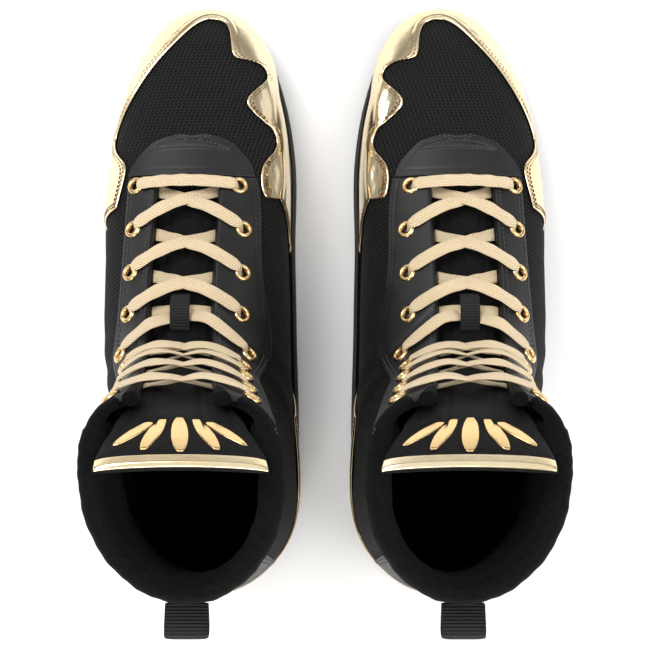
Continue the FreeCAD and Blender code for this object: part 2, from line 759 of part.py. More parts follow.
def laces():
    """One lace: a bar at the first row, eight crossings, and the stretches through the eyelets."""
    pieces = [lace_bar()]
    for row in range(EYELET_ROWS - 1):
        for side in (1.0, -1.0):
            pieces.append(lace_strand(row, side, side > 0))
    for row in range(EYELET_ROWS):
        for side in (1.0, -1.0):
            pieces.append(lace_drop(row, side))
    return Part.Compound(pieces)


# ---------------------------------------------------------------- pull loop
def pull_loop():
    """Webbing loop that stands out behind the collar."""
    root = skin(288.0, math.pi, OVERLAY[1]) + Vector(0, LOOP_STANDOFF, 0)
    reach, height, neck = 15.0, 9.5, 1.7
    x = root.x + LOOP_SHIFT - LOOP_WIDTH / 2.0
    side = [(0.0, -neck), (0.0, neck), (0.3, height * 0.4), (0.62, height * 0.6), (1.0, 0.0),
            (0.62, -height * 0.6), (0.3, -height * 0.4)]

    def outline(shrink):
        points = []
        for along, rise in side:
            y = root.y + 1.8 * shrink + along * (reach - 2.8 * shrink)
            points.append(Vector(x, y, root.z + rise * (1.0 - 1.7 * shrink / height)))
        start = Part.LineSegment(points[0], points[1]).toShape()
        curve = Part.BSplineCurve()
        curve.interpolate(points[1:] + points[:1])
        return Part.Face(Part.Wire([start, curve.toShape()])).extrude(Vector(LOOP_WIDTH, 0, 0))

    return outline(0.0).cut(outline(LOOP_THICK))


# ---------------------------------------------------------------- build and export
def left_boot():
    cup, outside = cup_walls()
    return {
        "outsole": outsole(cup, outside),
        "midsole": midsole(cup),
        "lasting_board": lasting_board(),
        "footbed": footbed(),
        "toe_puff": toe_puff(),
        "heel_counter": heel_counter(),
        "vamp_lining": vamp_lining(),
        "lateral_lining": with_holes(side_lining(1.0), 1.0),
        "medial_lining": with_holes(side_lining(-1.0), -1.0),
        "heel_lining": heel_lining(),
        "vamp_mesh": Part.Compound([vamp_mesh(), vamp_side(1.0), vamp_side(-1.0)]),
        "toe_overlay": toe_overlay(),
        "throat_bib": throat_bib(),
        "lateral_facing": with_holes(facing(1.0), 1.0),
        "medial_facing": with_holes(facing(-1.0), -1.0),
        "lateral_quarter": quarter(1.0),
        "medial_quarter": quarter(-1.0),
        "rear_panel": rear_panel(),
        "heel_overlay": heel_overlay(),
        "collar_padding": collar_padding(),
        "collar_binding": collar_binding(),
        "shaft_tabs": shaft_tabs(),
        "tongue": tongue(),
        "tongue_top": tongue_top(),
        "tongue_trim": tongue_trim(),
        "tongue_emblem": tongue_emblem(),
        "lace_keeper": lace_keeper(),
        "eyelets": eyelets(),
        "laces": laces(),
        "pull_loop": pull_loop(),
    }


os.makedirs("parts", exist_ok=True)
for name, shape in left_boot().items():
    shape.exportStep("parts/left_" + name + ".step")
    mirrored = shape.mirror(Vector(0, 0, 0), Vector(1, 0, 0))
    mirrored.exportStep("parts/right_" + name + ".step")
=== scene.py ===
import bpy
import bmesh
import math
import numpy as np
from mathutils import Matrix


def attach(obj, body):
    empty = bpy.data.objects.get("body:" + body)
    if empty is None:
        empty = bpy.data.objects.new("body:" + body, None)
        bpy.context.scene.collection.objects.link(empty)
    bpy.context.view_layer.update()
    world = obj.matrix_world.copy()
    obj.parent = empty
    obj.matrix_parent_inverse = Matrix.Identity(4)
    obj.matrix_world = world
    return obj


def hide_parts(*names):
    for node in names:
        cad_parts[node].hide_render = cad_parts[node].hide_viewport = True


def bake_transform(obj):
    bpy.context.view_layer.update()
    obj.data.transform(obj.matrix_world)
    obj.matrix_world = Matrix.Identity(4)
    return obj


# A pair of high lace-up boxing boots. Shapes are worked out in millimetres on the left boot and mirrored.
# Every layer of a boot is a sheet at some depth on one smooth form, the last. A point of the last is given by
# a station along the boot and an angle round it: 0 at the front, +90 degrees outside, 180 degrees at the back.

MM = 0.001
SIDES = (("left", 1.0), ("right", -1.0))

RIM_U = 297.0
RIM_FRONT_U = 282.0
RIM_REAR_DROP = 3.0
VAMP_END_U = 109.0
SEAM_ANGLE = 134.0
THROAT_HALF = 15.5
FEATHER_Z = 12.2
LINING = (-2.3, -3.6)
TEXTILE = (-1.1, 0.0)
OVERLAY = (0.6, 1.5)
FACING = (-2.0, 1.1)
TONGUE_MIDDLE = -7.9
TONGUE_HALF = 2.3
TONGUE_LEAN = math.radians(35.0)
TONGUE_TOP_HEIGHT = 35.0
HINGE = np.array([60.0, 54.5, 178.0])
LACE_WIDTH = 6.6
LACE_LIFT = 1.9
LACE_UNDER = -4.5

# station, front y, front z, back y, back z, front x, back x, inner x, outer x, level, front and back exponents
LAST = np.array((
    (0.0, -147.7, 15.0, -147.7, 15.0, 60.6, 60.6, 60.6, 60.6, 0.36, 2.0, 2.0),
    (12.3, -145.5, 25.0, -145.5, 9.5, 60.6, 60.6, 48.6, 72.6, 0.36, 2.0, 2.3),
    (23.0, -139.0, 32.0, -139.0, 9.0, 60.6, 60.6, 40.1, 81.1, 0.35, 2.1, 2.8),
    (37.0, -127.5, 38.5, -127.5, 8.8, 61.4, 61.4, 32.5, 90.2, 0.34, 2.25, 3.4),
    (51.0, -115.0, 43.0, -115.0, 8.6, 62.6, 62.4, 27.9, 97.0, 0.34, 2.35, 3.8),
    (77.0, -90.0, 50.0, -90.0, 8.5, 65.5, 64.0, 22.2, 105.5, 0.34, 2.3, 4.0),
    (106.0, -61.0, 60.5, -61.0, 8.5, 67.5, 64.5, 19.3, 110.2, 0.33, 2.2, 4.0),
    (134.0, -34.0, 72.5, -30.0, 8.5, 68.5, 65.0, 19.6, 111.5, 0.33, 2.1, 4.0),
    (167.0, -4.0, 87.0, 12.0, 9.0, 69.0, 64.5, 18.6, 111.3, 0.33, 2.1, 4.0),
    (192.0, 17.0, 98.5, 56.0, 10.0, 68.5, 62.0, 17.5, 109.0, 0.35, 2.2, 3.6),
    (210.0, 27.0, 110.5, 96.0, 10.5, 67.5, 57.5, 15.8, 104.0, 0.42, 2.4, 3.0),
    (223.0, 30.0, 121.5, 131.0, 11.0, 66.5, 54.5, 15.0, 99.5, 0.47, 2.55, 2.5),
    (233.0, 31.4, 131.0, 144.0, 23.0, 65.7, 54.0, 15.0, 97.2, 0.49, 2.7, 2.2),
    (245.0, 34.6, 142.0, 147.0, 50.0, 64.8, 54.0, 15.4, 96.0, 0.51, 2.8, 2.05),
    (261.0, 39.6, 157.0, 144.3, 88.0, 63.4, 54.5, 16.3, 96.3, 0.54, 3.0, 2.05),
    (277.0, 45.0, 171.5, 136.8, 130.0, 62.0, 55.5, 17.3, 97.3, 0.60, 3.1, 2.1),
    (291.0, 49.5, 185.5, 132.2, 168.0, 60.8, 57.0, 18.0, 98.6, 0.65, 3.1, 2.15),
    (303.0, 53.0, 197.5, 131.0, 197.0, 60.0, 57.5, 18.2, 99.2, 0.68, 3.1, 2.2),
))

# Eyelet rows from the toe up: station, inner x, outer x.
EYELETS = (
    (114.0, 43.0, 94.0),
    (137.0, 40.5, 94.0),
    (160.0, 40.5, 94.0),
    (181.0, 40.5, 94.0),
    (203.0, 36.5, 96.0),
    (217.0, 38.5, 92.0),
    (236.5, 36.0, 91.5),
    (255.5, 33.5, 90.5),
    (274.5, 31.0, 89.5),
)

# Outer edge of the facings: station, inner side's angle, outer side's angle.
FACING_EDGE = np.array((
    (105.0, 41.0, 41.0),
    (123.0, 46.0, 41.0),
    (166.0, 49.5, 41.0),
    (189.0, 54.0, 44.0),
    (203.0, 51.0, 47.0),
    (219.0, 46.0, 46.0),
    (240.0, 50.5, 51.5),
    (270.0, 59.0, 60.0),
    (297.0, 68.0, 68.0),
))

# Front edge of the bib: station, angle.
BIB_EDGE = np.array(((87.3, 8.0), (89.0, 18.0), (93.5, 29.0), (100.5, 37.0), (109.0, 41.5)))

# Upper edge of the toe overlay from its outer end round the toe: station, angle, foot station.
OVERLAY_EDGE = np.array((
    (124.5, 49.0, 141.0),
    (106.0, 43.5, 124.0),
    (98.0, 51.5, 103.0),
    (89.5, 67.0, 90.0),
    (82.0, 67.5, 81.0),
    (66.0, 55.0, 64.0),
    (51.0, 45.5, 48.0),
    (36.0, 34.0, 32.0),
    (24.5, 21.0, 17.0),
    (18.5, 2.0, 4.0),
    (19.5, -21.0, -14.0),
    (27.0, -27.5, -25.0),
    (40.0, -25.5, -38.0),
    (45.0, -32.0, -43.5),
    (46.5, -47.0, -47.0),
    (51.5, -58.5, -51.5),
    (59.0, -48.5, -59.0),
    (67.5, -35.5, -67.5),
    (76.0, -41.5, -76.0),
    (87.0, -57.5, -87.0),
    (97.0, -51.5, -97.0),
    (105.5, -44.6, -105.0),
    (118.0, -47.2, -113.0),
    (118.3, -56.0, -122.0),
    (122.0, -66.0, -130.0),
    (130.0, -80.0, -137.0),
    (138.0, -98.0, -144.0),
))


# ---------------------------------------------------------------- the last
def spline(xs, ys, level_start=False):
    """Cubic spline through the points, natural at its ends or level at its start."""
    xs, ys = np.asarray(xs, float), np.asarray(ys, float)
    step = np.diff(xs)
    slope = np.diff(ys) / step
    count = len(xs)
    system, right = np.eye(count), np.zeros(count)
    for i in range(1, count - 1):
        system[i, i - 1:i + 2] = (step[i - 1], 2.0 * (step[i - 1] + step[i]), step[i])
        right[i] = 6.0 * (slope[i] - slope[i - 1])
    if level_start:
        system[0, :2] = (2.0 * step[0], step[0])
        right[0] = 6.0 * slope[0]
    bend = np.linalg.solve(system, right)

    def value(x):
        x = np.asarray(x, float)
        i = np.clip(np.searchsorted(xs, x) - 1, 0, count - 2)
        a, b = (xs[i + 1] - x) / step[i], (x - xs[i]) / step[i]
        curve = (a ** 3 - a) * bend[i] + (b ** 3 - b) * bend[i + 1]
        return a * ys[i] + b * ys[i + 1] + curve * step[i] ** 2 / 6.0
    return value


CURVES = [spline(LAST[:, 0], LAST[:, c], c in (1, 3)) for c in range(1, 12)]
FRONT_X = CURVES[4]
FACING_CURVES = {-1.0: spline(FACING_EDGE[:, 0], np.radians(FACING_EDGE[:, 1])),
                 1.0: spline(FACING_EDGE[:, 0], np.radians(FACING_EDGE[:, 2]))}
BIB_CURVE = spline(BIB_EDGE[:, 0], np.radians(BIB_EDGE[:, 1]))
OVERLAY_STEPS = np.arange(len(OVERLAY_EDGE), dtype=float)
OVERLAY_CURVES = [spline(OVERLAY_STEPS, OVERLAY_EDGE[:, c]) for c in range(3)]


def last_point(u, angle):
    u, angle = np.broadcast_arrays(np.asarray(u, float), np.asarray(angle, float))
    fy, fz, by, bz, fx, bx, inner, outer, level, n_front, n_back = [curve(u) for curve in CURVES]
    cosine, sine = np.cos(angle), np.sin(angle)
    power = n_front * (1.0 + cosine) / 2.0 + n_back * (1.0 - cosine) / 2.0
    grow = (np.abs(cosine) ** power + np.abs(sine) ** power) ** (-1.0 / power)
    run = 0.5 + (0.5 - level) * cosine
    along = level + run * cosine * grow
    middle = bx + (fx - bx) * level
    width = (outer - inner) / 2.0 + ((outer + inner) / 2.0 - middle) * sine
    x = bx + (fx - bx) * along + width * sine * grow
    return np.stack([x, by + (fy - by) * along, bz + (fz - bz) * along], -1)


def unit(v):
    return v / np.maximum(np.linalg.norm(v, axis=-1, keepdims=True), 1e-9)


def outward(u, angle):
    u, angle = np.broadcast_arrays(np.asarray(u, float), np.asarray(angle, float))
    along = last_point(u + 0.2, angle) - last_point(np.maximum(u - 0.2, 0.05), angle)
    around = last_point(u, angle + 0.004) - last_point(u, angle - 0.004)
    normal = unit(np.cross(along, around))
    fy, fz, by, bz = [curve(u) for curve in CURVES[:4]]
    inner, outer = CURVES[6](u), CURVES[7](u)
    middle = np.stack([(inner + outer) / 2.0, (fy + by) / 2.0, (fz + bz) / 2.0], -1)
    sign = np.sign(np.sum(normal * (last_point(u, angle) - middle), -1, keepdims=True))
    return normal * sign


def skin(u, angle, depth):
    return last_point(u, angle) + outward(u, angle) * np.asarray(depth, float)[..., None]


def bisect(test, low, high):
    """Root of a function that is positive at low and negative at high, for every element."""
    for _ in range(30):
        middle = (low + high) / 2.0
        above = test(middle) > 0
        low, high = np.where(above, middle, low), np.where(above, high, middle)
    return (low + high) / 2.0


def angle_at_x(u, x):
    u, x = np.broadcast_arrays(np.asarray(u, float), np.asarray(x, float))
    side = np.where(x > FRONT_X(u), 1.0, -1.0)
    test = lambda a: side * (x - last_point(u, side * a)[..., 0])
    return side * bisect(test, np.zeros(u.shape), np.full(u.shape, math.pi / 2.0))


def angle_at_z(u, side, z):
    u, side = np.broadcast_arrays(np.asarray(u, float), np.asarray(side, float))
    test = lambda a: last_point(u, side * a)[..., 2] - z
    low, high = np.full(u.shape, math.radians(80.0)), np.full(u.shape, math.radians(178.0))
    return bisect(test, low, high)


def step(x):
    x = np.clip(x, 0.0, 1.0)
    return x * x * (3.0 - 2.0 * x)


def mix(a, b, t):
    return a + (b - a) * t


def rim(angle):
    turn = np.abs(np.degrees(angle))
    turn = np.minimum(turn, 360.0 - turn)
    height = RIM_FRONT_U + (RIM_U - RIM_FRONT_U) * step((turn - 30.0) / 55.0)
    return height - RIM_REAR_DROP * step((turn - 100.0) / 80.0)


def fold(angle):
    return np.where(angle > math.pi, angle - 2.0 * math.pi, angle)


def lower_edge(u, side, z=FEATHER_Z):
    return side * np.minimum(angle_at_z(u, side, z), math.radians(177.0))


# ---------------------------------------------------------------- meshes
def grid_faces(rows, columns, wrap=False):
    index = np.arange(rows * columns).reshape(rows, columns)
    if wrap:
        index = np.concatenate([index, index[:, :1]], 1)
    return np.stack([index[:-1, :-1], index[:-1, 1:], index[1:, 1:], index[1:, :-1]], -1).reshape(-1, 4)


def merge(parts):
    """One mesh from several: each is (vertices, quads, texture coordinates)."""
    offset, verts, faces, uvs = 0, [], [], []
    for v, f, t in parts:
        verts.append(v)
        faces.append(f + offset)
        uvs.append(t)
        offset += len(v)
    return np.concatenate(verts), np.concatenate(faces), np.concatenate(uvs)


def lid(front, back, uv):
    """Closed mesh from two grids that share their border."""
    rows, columns = front.shape[:2]
    outer = np.arange(rows * columns).reshape(rows, columns)
    inner = outer.copy()
    inside = (rows - 2) * (columns - 2)
    inner[1:-1, 1:-1] = rows * columns + np.arange(inside).reshape(rows - 2, columns - 2)
    faces = []
    for index in (outer, inner[:, ::-1]):
        corners = [index[:-1, :-1], index[:-1, 1:], index[1:, 1:], index[1:, :-1]]
        faces.append(np.stack(corners, -1).reshape(-1, 4))
    verts = np.concatenate([front.reshape(-1, 3), back[1:-1, 1:-1].reshape(-1, 3)])
    return verts, np.concatenate(faces), np.concatenate([uv.reshape(-1, 2), uv[1:-1, 1:-1].reshape(-1, 2)])


def spaced(length, pitch, roll):
    """Parameters from 0 to 1 about a pitch apart, closer together where the edges roll over."""
    near = roll / length * (1.0 - np.cos(np.linspace(0.0, math.pi / 2.0, 5)))
    count = max(int(length / pitch), 4)
    inside = np.linspace(near[-1], 1.0 - near[-1], count + 1)[1:-1]
    return np.concatenate([near, inside, 1.0 - near[::-1]])


def run_length(points, axis):
    """Distance along a grid's rows or columns, from their start and from their end."""
    length = np.linalg.norm(np.diff(points, axis=axis), axis=-1)
    zero = np.zeros_like(np.take(length, [0], axis))
    walked = np.concatenate([zero, np.cumsum(length, axis)], axis)
    return walked, np.take(walked, [-1], axis) - walked


def plate(place, layer, pitch=1.6, roll=0.9, relief=None, plan=False):
    """Sheet of one layer with rolled edges. place gives (station, angle) from (s, t).

    relief(u, angle, from_edge) raises the outer face; plan lays the texture out as seen from above."""
    probe = np.linspace(0.0, 1.0, 60)
    rows = run_length(last_point(*place(probe, np.full(60, 0.5))), 0)[0][-1]
    columns = run_length(last_point(*place(np.full(60, 0.5), probe)), 0)[0][-1]
    s, t = np.meshgrid(spaced(rows, pitch, roll), spaced(columns, pitch, roll), indexing="ij")
    u, angle = place(s, t)
    base, normal = last_point(u, angle), outward(u, angle)
    down, up = run_length(base, 0)
    left, right = run_length(base, 1)
    from_edge = np.minimum(np.minimum(down, up), np.minimum(left, right))
    rise = np.sqrt(1.0 - (1.0 - np.clip(from_edge / roll, 0.0, 1.0)) ** 2)
    height = layer[0] + (layer[1] - layer[0]) * rise
    if relief:
        height = height + relief(u, angle, from_edge) * rise
    uv = base[..., :2] if plan else np.stack([down, left], -1)
    return lid(base + normal * height[..., None], base + normal * layer[0], uv)


def edge_line(place, edge, inset, count=240):
    """Stations and angles of a line at a distance inside one edge of a panel: s0, s1, t0 or t1."""
    along = np.linspace(0.0, 1.0, count)[:, None]
    across = np.linspace(0.0, 0.5, 160)[None, :]
    if edge[1] == "1":
        across = 1.0 - across
    s, t = (across, along) if edge[0] == "s" else (along, across)
    s, t = np.broadcast_arrays(s, t)
    u, angle = place(s, t)
    walked = run_length(last_point(u, angle), 1)[0]
    spot = np.array([np.interp(inset, walked[i], np.arange(160.0)) for i in range(count)])
    low = np.clip(spot.astype(int), 0, 158)
    part = spot - low
    rows = np.arange(count)
    return (mix(u[rows, low], u[rows, low + 1], part), mix(angle[rows, low], angle[rows, low + 1], part))


def capsules(centres, tangents, normals, length, radius, sink=0.3):
    """Stitches: short rounded threads that dive into the surface at both ends."""
    spots = np.array((-0.5, -0.38, 0.38, 0.5))
    thick = np.array((0.45, 1.0, 1.0, 0.45))
    drop = np.array((-sink, 0.0, 0.0, -sink))
    turn = np.linspace(0.0, 2.0 * math.pi, 6, endpoint=False)
    side = unit(np.cross(normals, tangents))
    ring = (np.cos(turn)[None, None, :, None] * side[:, None, None, :]
            + np.sin(turn)[None, None, :, None] * normals[:, None, None, :])
    middle = (centres[:, None, :] + tangents[:, None, :] * spots[None, :, None] * length
              + normals[:, None, :] * drop[None, :, None])
    verts = middle[:, :, None, :] + ring * (radius * thick)[None, :, None, None]
    one = grid_faces(4, 6, True)
    caps = np.array([[0, 1, 4, 5], [1, 2, 3, 4], [23, 22, 19, 18], [22, 21, 20, 19]])
    one = np.concatenate([one, caps])
    faces = (one[None] + np.arange(len(centres))[:, None, None] * 24).reshape(-1, 4)
    verts = verts.reshape(-1, 3)
    return verts, faces, verts[:, :2]


def resample(points, pitch):
    walked = np.concatenate([[0.0], np.cumsum(np.linalg.norm(np.diff(points, axis=0), axis=1))])
    count = max(int(walked[-1] / pitch), 2)
    spots = (np.arange(count) + 0.5) / count * walked[-1]
    return spots, walked


def stitches(u, angle, height, pitch=2.7, length=1.9, radius=0.26):
    """Row of stitches along a line on the last."""
    points, normals = skin(u, angle, np.full(np.shape(u), height)), outward(u, angle)
    spots, walked = resample(points, pitch)
    centre = np.stack([np.interp(spots, walked, points[:, i]) for i in range(3)], -1)
    normal = unit(np.stack([np.interp(spots, walked, normals[:, i]) for i in range(3)], -1))
    ahead = np.stack([np.interp(spots + 0.4, walked, points[:, i]) for i in range(3)], -1)
    behind = np.stack([np.interp(spots - 0.4, walked, points[:, i]) for i in range(3)], -1)
    return capsules(centre, unit(ahead - behind), normal, length, radius)


def strip(path, across, lift, half_width, half_thick, power=2.6, sides=16):
    """Rounded flat band along a path; half_width and half_thick hold one value for each point of the path."""
    turn = np.linspace(0.0, 2.0 * math.pi, sides, endpoint=False)
    cosine, sine = np.cos(turn), np.sin(turn)
    x = np.sign(cosine) * np.abs(cosine) ** (2.0 / power)
    y = np.sign(sine) * np.abs(sine) ** (2.0 / 2.0)
    verts = (path[:, None] + across[:, None] * (x[None] * half_width[:, None])[..., None]
             + lift[:, None] * (y[None] * half_thick[:, None])[..., None])
    walked = np.concatenate([[0.0], np.cumsum(np.linalg.norm(np.diff(path, axis=0), axis=1))])
    uv = np.stack(np.broadcast_arrays(walked[:, None], x[None] * half_width[:, None]), -1)
    faces = grid_faces(len(path), sides, True)
    pairs = np.arange(sides // 2 - 1)
    start = np.stack([pairs, pairs + 1, sides - 2 - pairs, sides - 1 - pairs], -1)
    faces = np.concatenate([faces, start, start[:, ::-1] + (len(path) - 1) * sides])
    return verts.reshape(-1, 3), faces, uv.reshape(-1, 2)


def ring_loft(rings):
    """Closed mesh from rings that each run once round a closed path (a tube bent into a loop)."""
    count, sides = rings.shape[:2]
    index = np.arange(count * sides).reshape(count, sides)
    index = np.concatenate([index, index[:, :1]], 1)
    index = np.concatenate([index, index[:1]], 0)
    faces = np.stack([index[:-1, :-1], index[:-1, 1:], index[1:, 1:], index[1:, :-1]], -1).reshape(-1, 4)
    return rings.reshape(-1, 3), faces


# ---------------------------------------------------------------- objects
MADE = []


def add(name, mesh_parts, material, body="boot", nodes=(), blend=None):
    """Makes a piece for the left boot and its mirror image for the right boot."""
    verts, faces, uvs = mesh_parts
    for side, sign in SIDES:
        data = bpy.data.meshes.new(side + "_" + name)
        data.from_pydata((verts * (sign * MM, MM, MM)).tolist(), [], faces.tolist())
        layer = data.uv_layers.new(name="surface")
        layer.data.foreach_set("uv", (uvs[faces.reshape(-1)] * 0.1).astype(np.float32).ravel())
        shape = bmesh.new()
        shape.from_mesh(data)
        bmesh.ops.recalc_face_normals(shape, faces=shape.faces)
        shape.to_mesh(data)
        shape.free()
        data.polygons.foreach_set("use_smooth", [True] * len(data.polygons))
        data.materials.append(material)
        piece = bpy.data.objects.new(side + "_look_" + name, data)
        bpy.context.scene.collection.objects.link(piece)
        if nodes:
            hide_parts(*[side + "_" + node for node in nodes])
        if blend:
            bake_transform(piece)
        else:
            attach(piece, side + "_" + body)
        MADE.append(piece)


# ---------------------------------------------------------------- materials
def shader(name, color, roughness, **inputs):
    """New material; returns it with its node tree and its Principled shader."""
    material = bpy.data.materials.new(name)
    material.use_nodes = True
    tree = material.node_tree
    principled = tree.nodes["Principled BSDF"]
    principled.inputs["Base Color"].default_value = (*color, 1.0)
    principled.inputs["Roughness"].default_value = roughness
    for key, value in inputs.items():
        principled.inputs[key.replace("_", " ")].default_value = value
    return material, tree, principled


def link(tree, source, target):
    tree.links.new(source, target)


def math_node(tree, operation, a, b=None, c=None):
    node = tree.nodes.new("ShaderNodeMath")
    node.operation = operation
    for socket, value in zip(node.inputs, (a, b, c)):
        if value is None:
            continue
        if isinstance(value, (int, float)):
            socket.default_value = value
        else:
            link(tree, value, socket)
    return node.outputs[0]


def surface_xy(tree):
    """Texture coordinates on the surface, in centimetres."""
    coords = tree.nodes.new("ShaderNodeTexCoord")
    parts = tree.nodes.new("ShaderNodeSeparateXYZ")
    link(tree, coords.outputs["UV"], parts.inputs[0])
    return parts.outputs[0], parts.outputs[1]


def noise(tree, scale, detail=2.0, source="Object"):
    coords = tree.nodes.new("ShaderNodeTexCoord")
    node = tree.nodes.new("ShaderNodeTexNoise")
    node.inputs["Scale"].default_value = scale
    node.inputs["Detail"].default_value = detail
    link(tree, coords.outputs[source], node.inputs["Vector"])
    return node.outputs["Fac"]


def grain(tree, scale):
    coords = tree.nodes.new("ShaderNodeTexCoord")
    node = tree.nodes.new("ShaderNodeTexVoronoi")
    node.feature = "DISTANCE_TO_EDGE"
    node.inputs["Scale"].default_value = scale
    link(tree, coords.outputs["Object"], node.inputs["Vector"])
    return node.outputs["Distance"]


def bump(tree, principled, height, strength, distance, after=None):
    node = tree.nodes.new("ShaderNodeBump")
    node.inputs["Strength"].default_value = strength
    node.inputs["Distance"].default_value = distance
    link(tree, height, node.inputs["Height"])
    if after:
        link(tree, after, node.inputs["Normal"])
    link(tree, node.outputs["Normal"], principled.inputs["Normal"])
    return node.outputs["Normal"]


def ramp(tree, source, stops):
    node = tree.nodes.new("ShaderNodeValToRGB")
    while len(node.color_ramp.elements) < len(stops):
        node.color_ramp.elements.new(0.5)
    for element, (position, color) in zip(node.color_ramp.elements, stops):
        element.position = position
        element.color = (*color, 1.0) if len(color) == 3 else color
    link(tree, source, node.inputs["Fac"])
    return node.outputs["Color"]


def grey(value):
    return (value, value, value)


def vary_roughness(tree, principled, source, low, high):
    link(tree, ramp(tree, source, ((0.3, grey(low)), (0.7, grey(high)))), principled.inputs["Roughness"])


def wave(tree, source, count):
    """Smooth ribs, count of them in a centimetre."""
    return math_node(tree, "SINE", math_node(tree, "MULTIPLY", source, 2.0 * math.pi * count))


def gold_foil():
    material, tree, principled = shader("gold_foil", (0.86, 0.70, 0.44), 0.15, Metallic=1.0)
    soft = noise(tree, 60.0, 3.0)
    vary_roughness(tree, principled, soft, 0.10, 0.20)
    link(tree, ramp(tree, noise(tree, 25.0), ((0.25, (0.82, 0.65, 0.38)), (0.75, (0.89, 0.76, 0.53)))),
         principled.inputs["Base Color"])
    first = bump(tree, principled, soft, 0.25, 0.0012)
    bump(tree, principled, grain(tree, 1400.0), 0.10, 0.0002, first)
    return material


def gold_metal():
    material, tree, principled = shader("gold_metal", (0.80, 0.56, 0.27), 0.2, Metallic=1.0)
    vary_roughness(tree, principled, noise(tree, 900.0), 0.16, 0.3)
    bump(tree, principled, noise(tree, 1500.0), 0.1, 0.0002)
    return material


def black_leather(name="black_leather", tone=0.008, low=0.36, high=0.5):
    material, tree, principled = shader(name, grey(tone), low, Specular_IOR_Level=0.36)
    patches = noise(tree, 90.0, 4.0)
    vary_roughness(tree, principled, patches, low, high)
    link(tree, ramp(tree, patches, ((0.3, grey(tone * 0.75)), (0.7, grey(tone * 1.4)))),
         principled.inputs["Base Color"])
    first = bump(tree, principled, grain(tree, 1700.0), 0.35, 0.00025)
    bump(tree, principled, patches, 0.15, 0.0006, first)
    return material


def air_mesh():
    """Open mesh of small slanted cells in offset rows."""
    material, tree, principled = shader("air_mesh", grey(0.012), 0.7, Specular_IOR_Level=0.08)
    x, y = surface_xy(tree)
    slant = math_node(tree, "MULTIPLY_ADD", y, 0.35, x)
    across = wave(tree, slant, 4.6)
    along = wave(tree, y, 3.1)
    cells = math_node(tree, "MULTIPLY", across, along)
    threads = math_node(tree, "MULTIPLY_ADD", wave(tree, x, 16.0), 0.08, cells)
    # The colour follows the cells: their sunken middles, where the bump goes deepest, are painted darker as
    # painted shade in the mesh openings.
    link(tree, ramp(tree, cells, ((0.0, grey(0.017)), (0.3, grey(0.010)), (0.7, grey(0.0015)))),
         principled.inputs["Base Color"])
    bump(tree, principled, math_node(tree, "MULTIPLY", threads, -1.0), 1.0, 0.0005)
    return material


def knit(name, tone, ribs, sheen=0.01, rough=0.85, depth=0.0003):
    """Knitted or woven cloth with fine crossing ribs."""
    material, tree, principled = shader(name, grey(tone), rough, Specular_IOR_Level=0.07)
    x, y = surface_xy(tree)
    weave = math_node(tree, "MULTIPLY", wave(tree, x, ribs), wave(tree, y, ribs * 1.2))
    fuzz = noise(tree, 500.0, 4.0)
    link(tree, ramp(tree, fuzz, ((0.3, grey(tone * 0.6)), (0.75, grey(tone * 1.6)))),
         principled.inputs["Base Color"])
    principled.inputs["Sheen Weight"].default_value = sheen
    principled.inputs["Sheen Roughness"].default_value = 0.5
    first = bump(tree, principled, weave, 0.5, depth)
    bump(tree, principled, fuzz, 0.5, 0.0004, first)
    return material


def webbing():
    material, tree, principled = shader("webbing", grey(0.008), 0.6, Specular_IOR_Level=0.25)
    x, y = surface_xy(tree)
    ribs = wave(tree, x, 7.0)
    twill = wave(tree, math_node(tree, "ADD", x, y), 11.0)
    # The colour follows the ribs: painted shade in the troughs between the ribs and a painted highlight along
    # their crests.
    link(tree, ramp(tree, ribs, ((0.1, grey(0.003)), (0.7, grey(0.014)))), principled.inputs["Base Color"])
    principled.inputs["Sheen Weight"].default_value = 0.04
    first = bump(tree, principled, ribs, 0.8, 0.00035)
    bump(tree, principled, twill, 0.3, 0.0002, first)
    return material


def lace_cloth():
    """Flat braid: chevrons of fine thread that meet along its middle."""
    material, tree, principled = shader("lace_cloth", (0.92, 0.77, 0.50), 0.55)
    x, y = surface_xy(tree)
    chevron = math_node(tree, "MULTIPLY_ADD", math_node(tree, "ABSOLUTE", y), 0.9, x)
    braid = wave(tree, chevron, 9.0)
    rows = wave(tree, y, 11.0)
    weave = math_node(tree, "MULTIPLY_ADD", rows, 0.6, braid)
    # The colour follows the braid's relief: painted shade in the low parts of the weave and a painted highlight
    # on its raised threads.
    link(tree, ramp(tree, weave, ((0.0, (0.62, 0.44, 0.24)), (0.3, (0.88, 0.71, 0.44)),
                                  (0.8, (0.97, 0.84, 0.60)))),
         principled.inputs["Base Color"])
    principled.inputs["Sheen Weight"].default_value = 0.15
    bump(tree, principled, weave, 0.7, 0.0003)
    return material


def thread(name, color):
    material, tree, principled = shader(name, color, 0.5)
    twist = noise(tree, 2500.0, 2.0)
    link(tree, ramp(tree, twist, ((0.3, tuple(c * 0.7 for c in color)), (0.7, tuple(c * 1.2 for c in color)))),
         principled.inputs["Base Color"])
    bump(tree, principled, twist, 0.5, 0.0002)
    return material


def speckled(name, color, rough, scale, depth):
    """Moulded or pressed material with a fine irregular surface."""
    material, tree, principled = shader(name, color, rough)
    specks = noise(tree, scale, 5.0)
    vary_roughness(tree, principled, specks, rough * 0.85, min(rough * 1.2, 1.0))
    darker, lighter = tuple(c * 0.75 for c in color), tuple(c * 1.25 for c in color)
    link(tree, ramp(tree, specks, ((0.3, darker), (0.7, lighter))),
         principled.inputs["Base Color"])
    bump(tree, principled, specks, 0.3, depth)
    return material


# ---------------------------------------------------------------- outer panels
def vamp_place(start, end, spread):
    def place(s, t):
        u = mix(start, end, s)
        side = np.where(t > 0.5, 1.0, -1.0)
        return u, spread(u, side) * np.abs(2.0 * t - 1.0)
    return place


def side_place(inner, outer, start, end):
    def place(s, t):
        u = mix(start, end, s)
        angle = mix(inner(u), outer(u), t)
        return u - (RIM_U - rim(angle)) * s ** 4, angle
    return place


